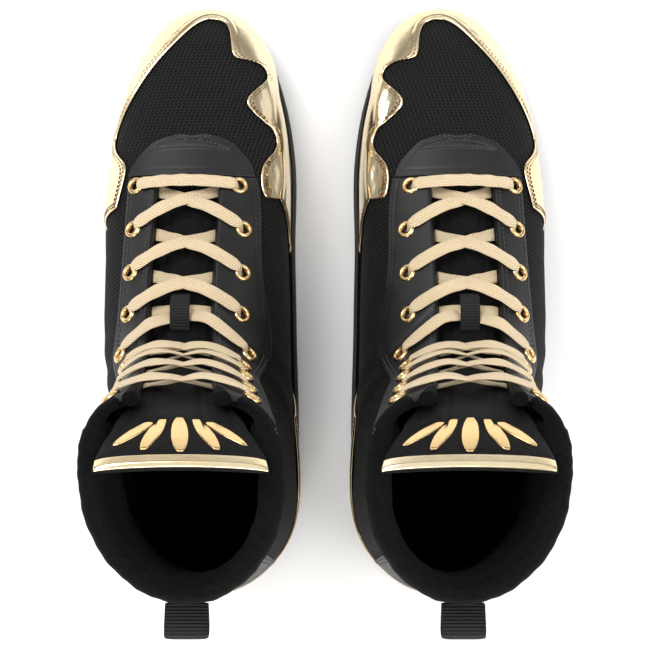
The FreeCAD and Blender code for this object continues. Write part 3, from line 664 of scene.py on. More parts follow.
def back_place(low_z, margin, top=None):
    def place(s, t):
        angle = np.radians(mix(SEAM_ANGLE + margin, 360.0 - SEAM_ANGLE - margin, t))
        folded = fold(angle)
        low = bisect(lambda u: low_z - last_point(u, folded)[..., 2], np.full(angle.shape, 160.0),
                     np.full(angle.shape, 280.0))
        high = rim(folded) if top is None else top
        return mix(low, high, s), angle
    return place


def lining_edge(u, side):
    seam = math.radians(SEAM_ANGLE)
    return side * np.where(u < 222.0, np.minimum(np.abs(lower_edge(u, side)), seam), seam)


def throat_angle(u, side, extra=0.0):
    return angle_at_x(u, FRONT_X(u) + side * (THROAT_HALF + extra))


def overlay_place(s, t):
    """Band round the toe: flat about the tip of the toe, by station and angle further back."""
    at = s * OVERLAY_STEPS[-1]
    top_u, top_angle = OVERLAY_CURVES[0](at), np.radians(OVERLAY_CURVES[1](at))
    foot = OVERLAY_CURVES[2](at)
    low_u = np.hypot(foot, 1.7)
    side = np.where(foot > 0, 1.0, -1.0)
    low_angle = side * mix(math.pi, np.abs(lower_edge(low_u, side, 14.0)), step(np.abs(foot) / 12.0))
    p = mix(low_u * np.cos(low_angle), top_u * np.cos(top_angle), t)
    q = mix(low_u * np.sin(low_angle), top_u * np.sin(top_angle), t)
    near_u, near_angle = np.maximum(np.hypot(p, q), 0.6), np.arctan2(q, p)
    away = step((np.abs(foot) - 8.0) / 22.0)
    far_u, far_angle = mix(low_u, top_u, t), mix(low_angle, top_angle, t)
    return mix(near_u, far_u, away), np.where(away > 0, mix(near_angle, far_angle, away), near_angle)


def hump(x, middle, width):
    return np.exp(-((x - middle) / width) ** 2)


def overlay_relief(u, angle, from_edge):
    """Pulled foil: a raised crease below each wave of the inner edge, a hollow above it, and soft dents."""
    turn = np.degrees(angle)
    relief = 0.12 * np.sin(u * 0.19 + turn * 0.05) * np.sin(turn * 0.11 + 1.0)
    for middle, run, crease, hollow in ((71.0, 13.0, -54.5, -45.5), (109.0, 12.0, -60.0, -52.5)):
        here = hump(u, middle, run)
        lean = crease + (u - middle) * 0.06
        relief = relief + here * (1.5 * hump(turn, lean, 3.4) - 0.75 * hump(turn, hollow, 4.0))
        relief = relief + 0.3 * here * np.sin((turn * 1.1 + u * 0.5)) * hump(turn, hollow, 6.0)
    groove = -0.25 * (hump(from_edge, 1.7, 0.45) + hump(from_edge, 3.4, 0.45))
    spot = last_point(u, angle)
    start = np.where(angle > 0, -60.0, -100.0)
    toe_cap = 1.9 * hump(spot[..., 2], 20.0, 9.0) * step((start - spot[..., 1]) / 25.0)
    return relief + groove + 0.25 * hump(from_edge, 2.55, 0.6) + toe_cap


def eyelet_spot(row, side):
    u, inner, outer = EYELETS[row]
    x = outer if side > 0 else inner
    angle = angle_at_x(u, x)
    return u, angle, skin(u, angle, FACING[1]), outward(u, angle)


def facing_relief(side):
    """Sunken rows of stitches, a dent at each eyelet, a second layer round them and a rolled front edge."""
    spots = np.array([eyelet_spot(row, side)[2] for row in range(len(EYELETS))])

    def relief(u, angle, from_edge):
        points = skin(u, angle, np.full(u.shape, FACING[1]))
        near = np.min(np.linalg.norm(points[..., None, :] - spots, axis=-1), -1)
        hole = -2.9 * step((3.4 - near) / 0.9)
        outer = side * FACING_CURVES[side](u)
        to_outer = np.abs(outer - angle) * 50.0
        groove = -0.25 * (hump(to_outer, 2.2, 0.5) + hump(to_outer, 4.2, 0.5))
        front = np.abs(points[..., 0] - FRONT_X(u)) - THROAT_HALF
        roll = 0.7 * hump(front, 2.5, 2.6) * step((u - 225.0) / 30.0)
        seam = 0.45 * step((183.0 - u + (np.abs(points[..., 0] - FRONT_X(u)) - 20.0) * 0.9) / 1.2)
        return hole + groove + roll + (seam if side < 0 else 0.0)
    return relief


def bib_relief(u, angle, from_edge):
    """Sunken double stitches along the front arc, and a crescent-shaped tab behind it."""
    groove = -0.25 * (hump(from_edge, 2.0, 0.5) + hump(from_edge, 4.0, 0.5))
    front = np.abs(angle) / math.radians(26.0)
    crescent = step((94.8 + 1.5 * front ** 2 - u) / 0.7) * step((u - 90.2 - 4.6 * front ** 2) / 0.7)
    return groove + 0.8 * crescent * step((1.0 - front) * 6.0)


def quarter_relief(u, angle, from_edge):
    """Soft waves of the cloth, deeper at the ankle where the boot bends."""
    bend = hump(u, 205.0, 22.0)
    folds = np.sin(u * 0.42 + np.degrees(angle) * 0.06) * bend * 0.5
    return folds * step(from_edge / 8.0) + 0.15 * np.sin(u * 0.11 + np.degrees(angle) * 0.09)


HEEL_LOW, HEEL_TOP_ANGLE, HEEL_LOW_ANGLE = 14.0, 86.0, 129.0


def heel_place(s, t):
    turn = mix(HEEL_LOW_ANGLE, 360.0 - HEEL_LOW_ANGLE, t)
    folded = fold(np.radians(turn))
    low = bisect(lambda u: HEEL_LOW - last_point(u, folded)[..., 2], np.full(turn.shape, 160.0),
                 np.full(turn.shape, 280.0))
    high = 208.0 + 46.0 * np.sin(math.pi * t)
    high_turn = mix(HEEL_TOP_ANGLE, 360.0 - HEEL_TOP_ANGLE, t)
    return mix(low, high, s), np.radians(mix(turn, high_turn, s))


def heel_relief(u, angle, from_edge):
    turn = np.degrees(angle)
    groove = -0.2 * (hump(from_edge, 1.7, 0.45) + hump(from_edge, 3.4, 0.45))
    swell = 0.25 * np.sin(u * 0.13 + turn * 0.04) + 0.7 * hump(turn, 180.0, 6.0) * step((u - 225.0) / 8.0)
    return groove + swell


def quarter_place(side):
    inner = lambda u: side * (FACING_CURVES[side](u) - math.radians(1.5))
    return side_place(inner, lambda u: lining_edge(u, side), VAMP_END_U - 1.0, RIM_U)


def facing_place(side):
    inner = lambda u: throat_angle(u, side)
    return side_place(inner, lambda u: side * FACING_CURVES[side](u), VAMP_END_U, RIM_U)


def outer_panels(looks):
    mesh_layer = (TEXTILE[0], TEXTILE[1] - 0.05)
    vamp = vamp_place(1.5, VAMP_END_U, lower_edge)
    add("vamp", plate(vamp, mesh_layer, 1.8, 0.3, plan=True), looks["mesh"], nodes=("vamp_mesh",))
    add("toe_overlay", plate(overlay_place, OVERLAY, 0.9, 0.9, overlay_relief), looks["gold"],
        nodes=("toe_overlay",))
    bib = vamp_place(BIB_EDGE[0, 0], VAMP_END_U + 0.4, lambda u, side: side * BIB_CURVE(u))
    add("bib", plate(bib, FACING, 0.8, 0.9, bib_relief), looks["leather"], nodes=("throat_bib",))
    for name, side in (("lateral", 1.0), ("medial", -1.0)):
        add(name + "_facing", plate(facing_place(side), FACING, 1.0, 1.2, facing_relief(side)),
            looks["leather"],
            nodes=(name + "_facing",))
        add(name + "_quarter", plate(quarter_place(side), mesh_layer, 1.8, 0.5, quarter_relief),
            looks["mesh"], nodes=(name + "_quarter",))
    rear = back_place(FEATHER_Z + 0.2, -1.5)
    add("rear_panel", plate(rear, (TEXTILE[0], 0.35), 1.8, 0.6), looks["leather_soft"], nodes=("rear_panel",))
    add("heel_overlay", plate(heel_place, OVERLAY, 1.2, 0.9, heel_relief), looks["gold"],
        nodes=("heel_overlay",))
    return bib, rear


def seams(looks, bib, rear):
    """All rows of stitches on the outside."""
    gold, dark = [], []
    for inset in (1.7, 3.4):
        for edge in ("t1", "s0", "s1"):
            gold.append(stitches(*edge_line(overlay_place, edge, inset), OVERLAY[1] + 0.02, 2.3, 1.7, 0.27))
        for edge in ("s1", "t0", "t1"):
            gold.append(stitches(*edge_line(heel_place, edge, inset), OVERLAY[1] + 0.02, 2.3, 1.7, 0.27))
    for inset in (2.0, 4.0):
        dark.append(stitches(*edge_line(bib, "s0", inset), FACING[1] + 0.02, 2.6, 1.8, 0.27))
        for side in (1.0, -1.0):
            u = np.linspace(VAMP_END_U, 294.0, 400)
            angle = side * (FACING_CURVES[side](u) - (inset + 0.2) / 50.0)
            dark.append(stitches(u, angle, FACING[1] + 0.02, 2.6, 1.8, 0.27))
        for edge in ("t0", "t1"):
            dark.append(stitches(*edge_line(rear, edge, inset), 0.42, 2.6, 1.8, 0.27))
    front = np.linspace(-1.0, 1.0, 60)
    dark.append(stitches(94.0 + 1.5 * front ** 2, np.radians(24.0) * front, FACING[1] + 0.8, 2.2, 1.6, 0.28))
    dark.append(stitches(91.2 + 4.4 * front ** 2, np.radians(24.0) * front, FACING[1] + 0.8, 2.2, 1.6, 0.28))
    for side in (1.0, -1.0):
        u = np.linspace(VAMP_END_U + 2.0, 278.0, 300)
        dark.append(stitches(u, throat_angle(u, side, 2.6), FACING[1] + 0.05, 2.6, 1.8, 0.27))
    add("gold_stitches", merge(gold), looks["gold_thread"])
    add("dark_stitches", merge(dark), looks["dark_thread"])


# ---------------------------------------------------------------- inside of the boot
def lining_relief(u, angle, from_edge):
    """Seam allowances stand up a little along the edges."""
    return -0.5 * step((4.0 - from_edge) / 0.8)


def linings(looks):
    vamp = vamp_place(1.5, VAMP_END_U + 0.5, lower_edge)
    add("vamp_lining", plate(vamp, LINING, 2.5, 0.5, lining_relief), looks["lining"], nodes=("vamp_lining",))
    for name, side in (("lateral", 1.0), ("medial", -1.0)):
        place = side_place(lambda u: throat_angle(u, side), lambda u: lining_edge(u, side),
                           VAMP_END_U - 0.5, RIM_U)
        add(name + "_lining", plate(place, LINING, 2.5, 0.5, lining_relief), looks["lining"],
            nodes=(name + "_lining",))
    back = back_place(FEATHER_Z + 0.2, -0.6)
    add("heel_lining", plate(back, LINING, 2.5, 0.5, lining_relief), looks["lining"], nodes=("heel_lining",))


def board_ring(z, depth, count=60):
    """Closed outline of the last at a height, moved in or out by a depth."""
    toe = bisect(lambda u: last_point(u, math.pi)[..., 2] - z, np.array(1.5), np.array(14.0))
    heel = bisect(lambda u: z - last_point(u, math.pi)[..., 2], np.array(215.0), np.array(245.0))
    u = mix(toe, heel, (1.0 - np.cos(math.pi * (np.arange(count) + 0.5) / count)) / 2.0)
    halves = [skin(u, side * angle_at_z(u, side, z), np.full(count, depth)) for side in (1.0, -1.0)]
    return np.concatenate([halves[0], halves[1][::-1]])


def across_ring(ring, count):
    """Points between each point of an outline and the one opposite it, from the toe end to the heel end.

    The second result grows from 0 at the outline to 1 halfway across."""
    half = len(ring) // 2
    near, far = ring[:half, None, :2], ring[half:, None, :2][::-1]
    share = 0.5 - 0.5 * np.cos(np.linspace(0.0, math.pi, count))
    flat = mix(near, far, share[None, :, None])
    return flat, np.tile(2.0 * np.minimum(share, 1.0 - share), (half, 1))


def footbed(looks):
    """Insole with a raised rim, a heel cup and rows of dimples under the ball."""
    flat, inner = across_ring(board_ring(14.0, LINING[1] - 0.5, 150), 60)
    x, y = flat[..., 0], flat[..., 1]
    edge = (1.0 - inner) ** 6
    heel, arch = hump(y, 95.0, 40.0), hump(y, 20.0, 35.0) * step((60.0 - x) / 20.0)
    dimple = -0.45 * np.maximum(np.cos(x * 1.3) * np.cos(y * 1.3), 0.0) * step((-y + 5.0) / 8.0)
    height = 13.6 + 1.9 * edge + 1.2 * heel * (1.0 - inner) ** 3 + 2.2 * arch * (1.0 - inner) ** 2 + dimple
    top = np.concatenate([flat, height[..., None]], -1)
    bottom = np.concatenate([flat, np.full_like(height, 11.7)[..., None]], -1)
    add("footbed", lid(top, bottom, flat), looks["footbed"], nodes=("footbed",))


def centre_caps(rows, sides):
    """Quads that close the first and the last ring of a loft."""
    pairs = np.arange(sides // 2 - 1)
    one = np.stack([pairs, pairs + 1, sides - 2 - pairs, sides - 1 - pairs], -1)
    return np.concatenate([one, one[:, ::-1] + (rows - 1) * sides])


def shaft_tabs(looks):
    """Foil flaps beside the tongue, whose free corners stand off the lining."""
    parts = []
    for side in (1.0, -1.0):
        def place(s, t, side=side):
            return mix(232.0, 262.0, s), side * np.radians(mix(62.0, 86.0, t))

        def relief(u, angle, from_edge, side=side):
            free = step((262.0 - u) / 30.0) * step((np.abs(np.degrees(angle)) - 62.0) / 24.0)
            return -6.5 * free - 0.3 * np.sin(u * 0.8)
        verts, faces, uv = plate(place, (-3.9, -4.8), 1.2, 0.4, relief)
        parts.append((verts, faces, uv))
    add("shaft_tabs", merge(parts), looks["gold"], nodes=("shaft_tabs",))


# ---------------------------------------------------------------- collar
def collar_path(start, count):
    turn = np.linspace(start, 360.0 - start, count)
    angle = fold(np.radians(turn))
    near = np.minimum(turn, 360.0 - turn)
    return angle, near


def collar_loft(start, profile, count):
    """Padded band round the collar. profile(near, k) gives (station offset, depth) round the section."""
    angle, near = collar_path(start, count)
    sides = 28
    turn = np.linspace(0.0, 2.0 * math.pi, sides, endpoint=False)
    offset, depth = np.broadcast_arrays(*profile(near[:, None], turn[None, :], angle[:, None]))
    points = skin(rim(angle)[:, None] + offset, angle[:, None] + 0.0 * offset, depth)
    walked = np.concatenate([[0.0], np.cumsum(np.linalg.norm(np.diff(points[:, 0], axis=0), axis=1))])
    uv = np.stack(np.broadcast_arrays(walked[:, None], (turn * 6.0)[None, :]), -1).reshape(-1, 2)
    faces = np.concatenate([grid_faces(count, sides, True), centre_caps(count, sides)])
    return points.reshape(-1, 3), faces, uv


def rounded(angle, power):
    cosine, sine = np.cos(angle), np.sin(angle)
    return (np.sign(cosine) * np.abs(cosine) ** (2.0 / power), np.sign(sine) * np.abs(sine) ** (2.0 / power))


def binding_profile(near, turn, angle):
    """Rolled top edge: thin beside the throat and as thick as the padding behind it."""
    across, up = rounded(turn, 2.3)
    inner = mix(-4.0, -9.2, step((near - 44.0) / 22.0))
    ends = 0.35 + 0.65 * step((near - 32.0) / 5.0)
    lump = 1.0 + 0.03 * np.sin(angle * 17.0) + 0.02 * np.sin(angle * 41.0)
    depth = (1.5 + inner) / 2.0 + across * (1.5 - inner) / 2.0 * ends * lump
    return -1.6 + up * 4.0 * ends, depth


def padding_profile(near, turn, angle):
    """Foam that swells into the shaft, drawn in by a sewn channel."""
    across, up = rounded(turn, 2.6)
    ends = 0.3 + 0.7 * step((near - 50.0) / 7.0)
    offset = -14.0 + up * 12.6
    channel = 1.0 - 0.22 * hump(offset, -17.0, 1.6)
    crease = 0.35 * np.sin(angle * 23.0 + up * 2.0) * hump(up, -0.2, 0.7)
    depth = -6.3 + np.where(across < 0, across * (3.4 * channel + crease), across * 2.2) * ends
    return offset, depth


def throat_roll(side):
    """Padded edge that tapers from the collar's end down beside the tongue."""
    count, sides = 70, 20
    s = np.linspace(0.0, 1.0, count)
    turn = np.linspace(0.0, 2.0 * math.pi, sides, endpoint=False)
    across, up = rounded(turn, 2.2)
    u = mix(286.5, 272.0, s)
    size = (1.0 - s ** 3) ** 0.5 * np.sqrt(np.clip(s / 0.03, 0.02, 1.0))
    middle = throat_angle(u, side) + side * np.radians(mix(4.5, 2.2, s))
    width = np.radians(mix(5.0, 2.6, s)) * size
    angle = middle[:, None] + side * width[:, None] * across[None, :]
    depth = mix(0.2, 1.2, s)[:, None] + (mix(3.4, 1.2, s) * size)[:, None] * up[None, :]
    points = skin(u[:, None] + 0.0 * angle, angle, depth)
    uv = np.stack(np.broadcast_arrays((s * 40.0)[:, None], (turn * 4.0)[None, :]), -1).reshape(-1, 2)
    faces = np.concatenate([grid_faces(count, sides, True), centre_caps(count, sides)])
    return points.reshape(-1, 3), faces, uv


def collar(looks):
    add("collar_ends", merge([throat_roll(1.0), throat_roll(-1.0)]), looks["collar"])
    add("collar_binding", collar_loft(34.0, binding_profile, 300), looks["collar"], nodes=("collar_binding",))
    add("collar_padding", collar_loft(51.0, padding_profile, 260), looks["collar"], nodes=("collar_padding",))


# ---------------------------------------------------------------- tongue
def tongue_top_point(across, up, depth):
    half = mix(26.0, 35.0, step(up / TONGUE_TOP_HEIGHT))
    sag = 1.6 * across ** 2 - 1.5 * np.sin(math.pi * np.minimum(up / TONGUE_TOP_HEIGHT, 1.0))
    y = HINGE[1] + up * math.sin(TONGUE_LEAN) + sag - depth * math.cos(TONGUE_LEAN)
    z = HINGE[2] + up * math.cos(TONGUE_LEAN) + depth * math.sin(TONGUE_LEAN) - 0.35 * sag
    return np.stack([HINGE[0] - 3.5 * up / TONGUE_TOP_HEIGHT + across * half, y, z], -1)


def tongue_rows(across):
    """Middle surface of the whole tongue, one row every few millimetres from the vamp to the top edge."""
    rows = []
    for u in np.arange(97.0, 274.0, 8.0):
        s = (u - 96.0) / 183.0
        half = mix(24.0, 30.0, step(s * 2.0)) - 4.0 * step((s - 0.8) * 5.0)
        station = np.full(across.shape, u)
        angle = angle_at_x(station, FRONT_X(station) + across * half)
        rows.append(skin(station, angle, np.full(across.shape, TONGUE_MIDDLE)))
    for up in (3.0, 9.0, 15.0, 21.0, 27.0, 31.0, TONGUE_TOP_HEIGHT - 0.4):
        rows.append(tongue_top_point(across, np.full(across.shape, up), 0.0))
    return np.array(rows)


TONGUE_ROW_COUNT = len(np.arange(97.0, 274.0, 8.0)) + 7


def tongue_surface(across, k, depth):
    """Point of the tongue: across from -1 to 1, k counting rows, depth from the middle in half-thicknesses."""
    columns = np.linspace(-1.0, 1.0, 33)
    rows = tongue_rows(columns)
    order = np.arange(len(rows), dtype=float)
    grid = np.stack([np.stack([spline(order, rows[:, j, i])(k[:, 0]) for j in range(33)], -1)
                     for i in range(3)], -1)
    spot = (across + 1.0) / 2.0 * 32.0
    low = np.clip(spot.astype(int), 0, 31)
    part = (spot - low)[..., None]
    lines = np.arange(k.shape[0])[:, None]
    middle = mix(grid[lines, low], grid[lines, low + 1], part)
    normal = unit(np.cross(np.gradient(middle, axis=1), np.gradient(middle, axis=0)))
    facing_out = np.sign(np.sum(normal[-1, k.shape[1] // 2] * np.array([0.0, -1.0, 0.6])))
    return middle + normal * facing_out * np.asarray(depth)[..., None]


def tongue_thickness(across, k):
    """Half thickness: rounded sides, sewn channels down the tongue and a stitched line below the top edge."""
    sides = np.sqrt(np.maximum(1.0 - np.abs(across) ** 6, 0.0))
    ends = np.sqrt(np.clip(k / 0.4, 0.02, 1.0)) * np.sqrt(np.clip((TONGUE_ROW_COUNT - 1.0 - k) / 0.5, 0.0, 1.0))
    below_trim = step((TONGUE_ROW_COUNT - 4.5 - k) / 1.5)
    channels = 1.0 - 0.35 * below_trim * (hump(np.abs(across), 0.36, 0.035) + hump(np.abs(across), 0.78, 0.04))
    return TONGUE_HALF * sides * ends * channels


def tongue(looks):
    k = np.concatenate([[0.0, 0.05, 0.15], np.linspace(0.4, TONGUE_ROW_COUNT - 1.6, 150),
                        TONGUE_ROW_COUNT - 1.0 - np.array((0.35, 0.2, 0.08, 0.02, 0.0))])
    across = np.sin(np.linspace(-math.pi / 2.0, math.pi / 2.0, 61))
    k, across = np.meshgrid(k, across, indexing="ij")
    half = tongue_thickness(across, k)
    wrinkle = 0.25 * np.sin(k * 2.2 + across * 3.0) * np.sin(across * 4.0 + 0.7)
    front = tongue_surface(across, k, half + wrinkle * (half > 1.0))
    back = tongue_surface(across, k, -half)
    uv = np.stack([k * 7.5, across * 30.0], -1)
    start, end = HINGE + np.array((0.0, -3.0, -6.0)), HINGE + np.array((0.0, 3.0, 6.0))
    add("tongue", lid(front, back, uv), looks["tongue"], nodes=("tongue", "tongue_top"),
        blend=(start, end, "tongue_top"))


def tongue_patch(across, k, lift, thick):
    """Thin raised patch that follows the tongue's front."""
    base = tongue_thickness(across, k)
    front = tongue_surface(across, k, base + lift + thick)
    back = tongue_surface(across, k, base + lift)
    rows, columns = across.shape
    border = np.zeros((rows, columns), bool)
    border[[0, -1], :] = True
    border[:, [0, -1]] = True
    front[border] = back[border]
    return lid(front, back, np.stack([k * 7.5, across * 30.0], -1))


def tongue_trim(looks):
    """Foil band folded over the tongue's top edge."""
    top = TONGUE_ROW_COUNT - 1.0
    k = np.concatenate([[top - 1.5, top - 1.47, top - 1.42], np.linspace(top - 1.35, top - 0.12, 14),
                        [top - 0.05]])
    across = np.concatenate([[-0.985, -0.98], np.linspace(-0.97, 0.97, 70), [0.98, 0.985]])
    k, across = np.meshgrid(k, across, indexing="ij")
    add("tongue_trim", tongue_patch(across, k, -0.15, 0.75), looks["gold"], body="tongue_top",
        nodes=("tongue_trim",))


def tongue_emblem(looks):
    """Plain fan of five blades."""
    parts = []
    top = TONGUE_ROW_COUNT - 1.0
    for low, high, width, start, end in ((-0.42, -0.80, 0.13, 0.9, 3.3), (-0.24, -0.44, 0.12, 0.5, 3.9),
                                         (0.0, 0.0, 0.13, 0.3, 4.2), (0.24, 0.44, 0.12, 0.5, 3.9),
                                         (0.42, 0.80, 0.13, 0.9, 3.3)):
        s, t = np.meshgrid(np.linspace(0.0, 1.0, 24), np.linspace(-1.0, 1.0, 11), indexing="ij")
        blade = np.sin(math.pi * np.clip(s * 0.92 + 0.06, 0.0, 1.0)) ** 0.6
        across = mix(low, high, s) + t * width * blade
        k = mix(top - 6.0 + start, top - 6.0 + end, s) + 0.0 * t
        parts.append(tongue_patch(across, k, -0.1, 0.5))
    add("tongue_emblem", merge(parts), looks["gold_deep"], body="tongue_top", nodes=("tongue_emblem",))


def lace_keeper(looks):
    s = np.linspace(0.0, 1.0, 40)
    u = mix(171.0, 191.0, s)
    depth = -5.6 + 0.2 + 5.1 * np.sin(math.pi * s) ** 0.5
    angle = angle_at_x(u, FRONT_X(u))
    path = skin(u, angle, depth + 0.4)
    across = np.broadcast_to(np.array([1.0, 0.0, 0.0]), path.shape)
    tangent = unit(np.gradient(path, axis=0))
    lift = unit(np.cross(across, tangent))
    loop = strip(path, across, lift, np.full(40, 4.7), np.full(40, 0.45), 4.0)
    add("lace_keeper", loop, looks["webbing"], nodes=("lace_keeper",))


# ---------------------------------------------------------------- eyelets and laces
EYELET_PROFILE = np.array(((2.35, -2.6), (2.3, -0.6), (2.32, 0.2), (2.5, 0.75), (2.9, 1.12), (3.4, 1.2),
                           (3.9, 1.02),
                           (4.3, 0.66), (4.6, 0.15), (4.62, -0.3), (3.4, -0.5), (2.75, -0.9), (2.7, -2.6)))


def eyelets(looks):
    parts = []
    sides = 32
    turn = np.linspace(0.0, 2.0 * math.pi, sides, endpoint=False)
    for row in range(len(EYELETS)):
        for side in (1.0, -1.0):
            _, _, centre, normal = eyelet_spot(row, side)
            first = unit(np.cross(normal, np.array([0.0, 0.0, 1.0])))
            second = np.cross(normal, first)
            spin = np.cos(turn)[:, None] * first + np.sin(turn)[:, None] * second
            rings = (centre + spin[:, None, :] * EYELET_PROFILE[None, :, :1]
                     + normal * EYELET_PROFILE[None, :, 1:])
            verts, faces = ring_loft(rings)
            parts.append((verts, faces, verts[:, :2]))
    add("eyelets", merge(parts), looks["metal"], nodes=("eyelets",))


def lace_along(u, x, depth, dive_start, dive_end, tilt=0.0):
    """Lace over the last at the given stations, x and depths; its ends may dive into eyelets."""
    count = len(u)
    s = np.linspace(0.0, 1.0, count)
    angle = angle_at_x(u, x)
    level = skin(u, angle, depth)
    normal = outward(u, angle)
    across = unit(np.cross(normal, np.gradient(level, axis=0)))
    near = np.full(count, 1.0)
    drop = np.zeros(count)
    if dive_start:
        near = np.minimum(near, s / 0.1)
        drop = drop + 5.2 * (1.0 - step(s / 0.055))
    if dive_end:
        near = np.minimum(near, (1.0 - s) / 0.1)
        drop = drop + 5.2 * (1.0 - step((1.0 - s) / 0.055))
    path = level - normal * drop[:, None]
    narrow = mix(0.5, 1.0, step(near))
    tangent = unit(np.gradient(path, axis=0))
    lift = unit(np.cross(tangent, across))
    turn = tilt * np.sin(s * math.pi * 2.0) + 0.05 * np.sin(s * 29.0 + count)
    rolled = across * np.cos(turn)[:, None] + lift * np.sin(turn)[:, None]
    lift = unit(np.cross(tangent, rolled))
    half_width = LACE_WIDTH / 2.0 * narrow * (1.0 + 0.03 * np.sin(s * 37.0))
    half_thick = 0.72 * mix(1.7, 1.0, step(near))
    return strip(path, rolled, lift, half_width, half_thick)


def lace_bar():
    (u, inner, outer) = EYELETS[0]
    s = np.linspace(0.0, 1.0, 90)
    x = mix(inner, outer, s)
    stations = u - 1.2 * np.sin(math.pi * s)
    return lace_along(stations, x, np.full(90, FACING[1] + LACE_LIFT), True, True)


KEEPER_ROW = 3


def lace_strand(row, side, on_top):
    """Lace from under one facing, across the throat and down into the next eyelet on the other side."""
    s = np.linspace(0.0, 1.0, 110)
    first, second = EYELETS[row], EYELETS[row + 1]
    start_x = first[1] if side > 0 else first[2]
    end_x = second[2] if side > 0 else second[1]
    x = mix(start_x, end_x, s)
    u = mix(first[0], second[0], (np.maximum(s - 0.08, 0.0) / 0.92) ** 1.45)
    if row == KEEPER_ROW:
        u = u - 6.2 * np.sin(math.pi * s) ** 2
    offset = (x - FRONT_X(u)) * side
    climb = step((offset + THROAT_HALF + 1.0) / (2.0 * THROAT_HALF))
    lift = (0.85 if on_top else -0.85) * hump(offset, 0.0, 9.0)
    if row == KEEPER_ROW:
        climb = step((offset - 2.0) / (THROAT_HALF - 3.0))
        lift = lift + 0.4 * hump(offset, 0.0, 9.0)
    depth = mix(LACE_UNDER, FACING[1] + LACE_LIFT, climb) + lift
    return lace_along(u, x, depth, False, True, 0.12 * side)


def laces(looks):
    parts = [lace_bar()]
    for row in range(len(EYELETS) - 1):
        for side in (1.0, -1.0):
            parts.append(lace_strand(row, side, side > 0))
    add("laces", merge(parts), looks["lace"], nodes=("laces",))


# ---------------------------------------------------------------- pull loop
LOOP_REACH, LOOP_HEIGHT, LOOP_NECK, LOOP_HALF = 15.0, 9.5, 1.7, 9.25


def pull_loop(looks):
    """Folded webbing: two layers meet at the root and spread into a rounded end."""
    root = skin(288.0, math.pi, np.array(OVERLAY[1] + 0.0)) + np.array([2.0, 1.2, 0.0])
    side = np.array(((0.0, LOOP_NECK - 0.8), (0.3, LOOP_HEIGHT * 0.4 - 0.8), (0.62, LOOP_HEIGHT * 0.6 - 0.8),
                     (0.88, LOOP_HEIGHT * 0.42), (1.0 - 0.8 / LOOP_REACH, 0.0)))
    side = np.concatenate([side, side[-2::-1] * (1.0, -1.0)])
    order = np.arange(len(side), dtype=float)
    k = np.linspace(0.0, order[-1], 90)
    along, rise = spline(order, side[:, 0])(k), spline(order, side[:, 1])(k)
    path = root + np.stack([0.0 * k, along * LOOP_REACH, rise], -1)
    tangent = unit(np.gradient(path, axis=0))
    across = np.broadcast_to(np.array([1.0, 0.0, 0.0]), path.shape)
    lift = unit(np.cross(across, tangent))
    loop = strip(path, across, lift, np.full(90, LOOP_HALF), np.full(90, 0.78), 5.0, 24)
    add("pull_loop", loop, looks["webbing"], body="pull_loop", nodes=("pull_loop",))
    tacks = []
    for row in (0.0, 1.4):
        x = np.linspace(-4.0, 4.0, 9) + root[0]
        centres = np.stack([x, np.full(9, root[1] + LOOP_REACH * 0.80 + row),
                            np.full(9, root[2] + LOOP_HEIGHT * 0.56 - row * 0.5)], -1)
        slope = unit(np.array([[0.0, 0.35, 0.94]]))
        tacks.append(capsules(centres, np.tile([1.0, 0.0, 0.0], (9, 1)), np.tile(slope, (9, 1)), 0.9, 0.22))
    add("loop_tack", merge(tacks), looks["dark_thread"], body="pull_loop")


# ---------------------------------------------------------------- outsole
def cup_height(u):
    return 19.5 - 2.5 * step(u / 80.0) + 7.0 * step((u - 170.0) / 50.0)


def grown(points, amount):
    tangent = np.roll(points, -1, 0) - np.roll(points, 1, 0)
    normal = unit(np.stack([tangent[:, 1], -tangent[:, 0], 0.0 * tangent[:, 0]], -1))
    middle = np.stack([np.full(len(points), 62.0), points[:, 1] * 0.8, points[:, 2]], -1)
    normal = normal * np.sign(np.sum(normal * (points - middle), -1, keepdims=True))
    return points + normal * np.asarray(amount(points, normal)).reshape(-1, 1)


def sole_ring(count=110):
    """Outline of the cup that holds the upper."""
    height = lambda u: np.minimum(cup_height(u), CURVES[3](u) + 22.0)
    toe = bisect(lambda u: skin(u, math.pi, OVERLAY[1])[..., 2] - height(u * 0.0),
                 np.array(1.5), np.array(14.0))
    heel = bisect(lambda u: height(230.0 + 0.0 * u) - skin(u, math.pi, OVERLAY[1])[..., 2],
                  np.array(215.0), np.array(245.0))
    u = mix(toe, heel, (1.0 - np.cos(math.pi * (np.arange(count) + 0.5) / count)) / 2.0)
    halves = []
    for side in (1.0, -1.0):
        low, high = np.full(count, math.radians(80.0)), np.full(count, math.radians(178.0))
        test = lambda a: skin(u, side * a, np.full(count, OVERLAY[1]))[..., 2] - height(u)
        halves.append(skin(u, side * bisect(test, low, high), np.full(count, OVERLAY[1])))
    return np.concatenate([halves[0], halves[1][::-1]])


def sole_spring(y):
    return 5.0 * np.clip((-92.0 - y) / 68.0, 0.0, 1.0) ** 2


def rim_height(y):
    """Height of the outsole's edge: low at the ball, a little higher at the toe, and high round the heel."""
    return 17.0 + 2.5 * step((-100.0 - y) / 45.0) + 7.0 * step((y - 20.0) / 85.0)


